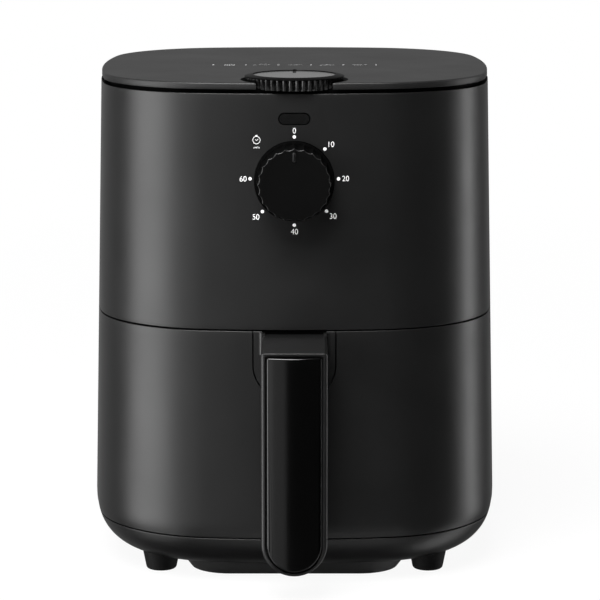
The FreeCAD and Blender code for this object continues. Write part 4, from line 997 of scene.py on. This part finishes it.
def foodSign(shapes):
    sign = bmesh.new()
    for shape in shapes:
        if len(shape) == 4:
            addTo(sign, bar(*[value * mm for value in shape]))
        else:
            radius, x, y, segments, inner = shape
            addTo(sign, disc(radius * mm, x * mm, y * mm, segments, inner * mm))
    return sign


def coverMarks():
    marks = bmesh.new()
    pitch, y = foodSet["pitch"], foodSet["y"]
    for i in range(6):
        x = (i - 2.5) * pitch
        addTo(marks, bar(x - foodSet["line"], x + foodSet["line"], y - foodSet["reach"], y + foodSet["reach"]))
    for i, shapes in enumerate(signSet.values()):
        addTo(marks, shifted(foodSign(shapes), (i - 2) * pitch, y))
    bmesh.ops.translate(marks, vec=(0, 0, body["topZ"] + markSet["lift"]), verts=marks.verts)
    for f in marks.faces:
        if f.normal.z < 0:
            f.normal_flip()
    return piece(loose("coverMarks", moveBody(marks)), "housing", palePrint, "top")


dialMarks()
coverMarks()
print("marks printed")

skins = {
    "front_bezel": ("housing", innerBlack, "inner_plastic"),
    "bottom_cover": ("housing", innerBlack, "inner_plastic"),
    "cooking_liner": ("housing", galvanised, "zinc"), "hot_air_dome": ("housing", galvanised, "zinc"),
    "cord_gland": ("housing", softRubber, "rubber"), "rear_grille": ("housing", innerBlack, "inner_plastic"),
    "heater_coil": ("housing", heaterSheath, "heater"), "convection_fan": ("fan", pressedAlloy, "alloy"),
    "foot_front_left": ("housing", softRubber, "rubber"), "foot_front_right": ("housing", softRubber, "rubber"),
    "foot_rear_left": ("housing", softRubber, "rubber"), "foot_rear_right": ("housing", softRubber, "rubber"),
    "drawer_panel": ("drawer", innerBlack, "inner_plastic"), "pan": ("drawer", nonStick, "coated"),
    "crisper_grid": ("grid", nonStick, "coated"), "pan_screws": ("drawer", brightSteel, "steel"),
    "handle_screws": ("drawer", brightSteel, "steel"), "foot_screws": ("housing", brightSteel, "steel"),
}
for node, (bodyName, material, slot) in skins.items():
    smoothCopy(node, bodyName, material, slot)

keptFinishes = [  # parts that keep their CAD shape
    (innerBlack, ["exhaust_duct", "indicator_lamp", "thermal_cutoff", "thermostat_body", "timer_case",
                  "interlock_switch", "interlock_plunger", "interlock_finger", "terminal_block", "cooling_fan"]),
    (galvanised, ["left_rail", "right_rail", "heater_support", "deck", "motor_bracket", "upper_bearing",
                  "pan_bracket"]),
    (brightSteel, ["fan_nut", "motor_shaft", "thermostat_shaft", "timer_shaft"]),
    (laminated, ["motor_stator", "motor_rotor"]),
    (windingTape, ["motor_coil"]),
    (pressedAlloy, ["handle_bracket"]),
    (silicone, ["left_grid_bumper", "right_grid_bumper"]),
]
for material, names in keptFinishes:
    for node in names:
        nodes[node].data.materials.clear()
        nodes[node].data.materials.append(material)
print("carried-over parts finished")

stageSet = {"floor": 12.0, "pale": 0.82, "rough": 0.9, "near": 0.93, "nearReach": 0.5, "farReach": 1.6}
lampSet = {  # turn left of the front and lift in degrees, distance and size in metres, and brightness
    "leftPanel": {"turn": 71.5, "lift": 6, "far": 8, "size": (6.0, 7.6), "bright": 5.1},
    "leftFill": {"turn": 36, "lift": 6, "far": 8, "size": (3.6, 7.6), "bright": 1.05},
    "frontFill": {"turn": 16, "lift": 6, "far": 8, "size": (2.0, 7.6), "bright": 0.5},
    "rightStrip": {"turn": -110, "lift": 6, "far": 8, "size": (1.7, 7.6), "bright": 5.5},
    "lowLeft": {"turn": 69, "lift": -32, "far": 5, "size": (4.0, 2.8), "bright": 1.55},
    "lowRight": {"turn": -105, "lift": -42, "far": 5, "size": (2.0, 3.6), "bright": 1.7},
    "lowFront": {"turn": -12, "lift": -44, "far": 5, "size": (4.6, 3.6), "bright": 0.55},
    "overhead": {"turn": 18, "lift": 56, "far": 4, "size": (2.0, 2.0), "bright": 21},
}
cameraSet = {"lens": 170.33, "sensor": 36.0, "side": 3.52 * mm, "back": 1.8752, "height": 0.49165,
             "pitch": 80.013}


def paleFloor():
    bm = bmesh.new()
    bmesh.ops.create_grid(bm, x_segments=1, y_segments=1, size=stageSet["floor"])
    floor = loose("paleFloor", bm)
    material = bpy.data.materials.new("paleFloor")
    material.use_nodes = True
    tree = material.node_tree
    shader = tree.nodes["Principled BSDF"]
    shader.inputs["Base Color"].default_value = colour(stageSet["pale"])
    shader.inputs["Roughness"].default_value = stageSet["rough"]
    glow = tree.nodes.new("ShaderNodeEmission")
    rays = tree.nodes.new("ShaderNodeLightPath")
    place = tree.nodes.new("ShaderNodeTexCoord")
    away = tree.nodes.new("ShaderNodeVectorMath")
    away.operation = "LENGTH"
    tree.links.new(place.outputs["Object"], away.inputs[0])
    clear = tree.nodes.new("ShaderNodeMapRange")
    clear.inputs["From Min"].default_value = stageSet["nearReach"]
    clear.inputs["From Max"].default_value = stageSet["farReach"]
    clear.inputs["To Min"].default_value = stageSet["near"]
    tree.links.new(away.outputs["Value"], clear.inputs["Value"])
    share = tree.nodes.new("ShaderNodeMath")
    share.operation = "MULTIPLY"
    mix = tree.nodes.new("ShaderNodeMixShader")
    wire(tree, (rays.outputs["Is Camera Ray"], share.inputs[0]), (clear.outputs["Result"], share.inputs[1]),
         (share.outputs["Value"], mix.inputs["Fac"]), (shader.outputs["BSDF"], mix.inputs[1]),
         (glow.outputs["Emission"], mix.inputs[2]),
         (mix.outputs["Shader"], tree.nodes["Material Output"].inputs["Surface"]))
    floor.data.materials.append(material)
    floor.visible_glossy = False  # the panels reach below the floor for what mirrors them


worldSet = {"room": 0.03, "white": 1.0, "mirrored": 0.37, "towards": (-0.34, 0.94, 0.3), "from": 0.2,
            "to": 1.0}


def softWorld():
    world = bpy.data.worlds.new("softWorld")
    bpy.context.scene.world = world
    world.use_nodes = True
    tree = world.node_tree
    back = tree.nodes["Background"]
    rays = tree.nodes.new("ShaderNodeLightPath")
    seen = tree.nodes.new("ShaderNodeMath")
    seen.operation = "MAXIMUM"
    tree.links.new(rays.outputs["Is Camera Ray"], seen.inputs[0])
    tree.links.new(rays.outputs["Is Transmission Ray"], seen.inputs[1])
    place = tree.nodes.new("ShaderNodeTexCoord")
    facing = tree.nodes.new("ShaderNodeVectorMath")
    facing.operation = "DOT_PRODUCT"
    facing.inputs[1].default_value = worldSet["towards"]
    tree.links.new(place.outputs["Generated"], facing.inputs[0])
    behind = tree.nodes.new("ShaderNodeMapRange")
    behind.inputs["From Min"].default_value = worldSet["from"]
    behind.inputs["From Max"].default_value = worldSet["to"]
    behind.inputs["To Min"].default_value = worldSet["room"]
    behind.inputs["To Max"].default_value = worldSet["mirrored"]
    tree.links.new(facing.outputs["Value"], behind.inputs["Value"])
    glossy = tree.nodes.new("ShaderNodeMix")
    glossy.inputs[2].default_value = worldSet["room"]
    strength = tree.nodes.new("ShaderNodeMix")
    strength.inputs[3].default_value = worldSet["white"]
    back.inputs["Color"].default_value = (1, 1, 1, 1)
    wire(tree, (rays.outputs["Is Glossy Ray"], glossy.inputs[0]), (behind.outputs["Result"], glossy.inputs[3]),
         (seen.outputs["Value"], strength.inputs[0]), (glossy.outputs[0], strength.inputs[2]),
         (strength.outputs[0], back.inputs["Strength"]))


def hangLamps():
    for name, spec in lampSet.items():
        light = bpy.data.lights.new(name, "AREA")
        light.shape = "RECTANGLE"
        light.size, light.size_y = spec["size"]
        light.energy = spec["bright"] * math.pi * light.size * light.size_y
        lamp = bpy.data.objects.new(name, light)
        bpy.context.scene.collection.objects.link(lamp)
        turn, lift = math.radians(spec["turn"]), math.radians(spec["lift"])
        towards = Vector((-math.sin(turn) * math.cos(lift), -math.cos(turn) * math.cos(lift), math.sin(lift)))
        lamp.location = towards * spec["far"]
        lamp.rotation_euler = (-towards).to_track_quat("-Z", "Y").to_euler()


def setCamera():
    data = bpy.data.cameras.new("photoView")
    data.sensor_width = cameraSet["sensor"]
    data.lens = cameraSet["lens"]
    view = bpy.data.objects.new("photoView", data)
    bpy.context.scene.collection.objects.link(view)
    view.location = (cameraSet["side"], body["shiftY"] - cameraSet["back"], cameraSet["height"])
    view.rotation_euler = (math.radians(cameraSet["pitch"]), 0, 0)
    bpy.context.scene.camera = view


paleFloor()
softWorld()
hangLamps()
setCamera()
bpy.context.scene.view_settings.view_transform = "Standard"
print("stage ready")
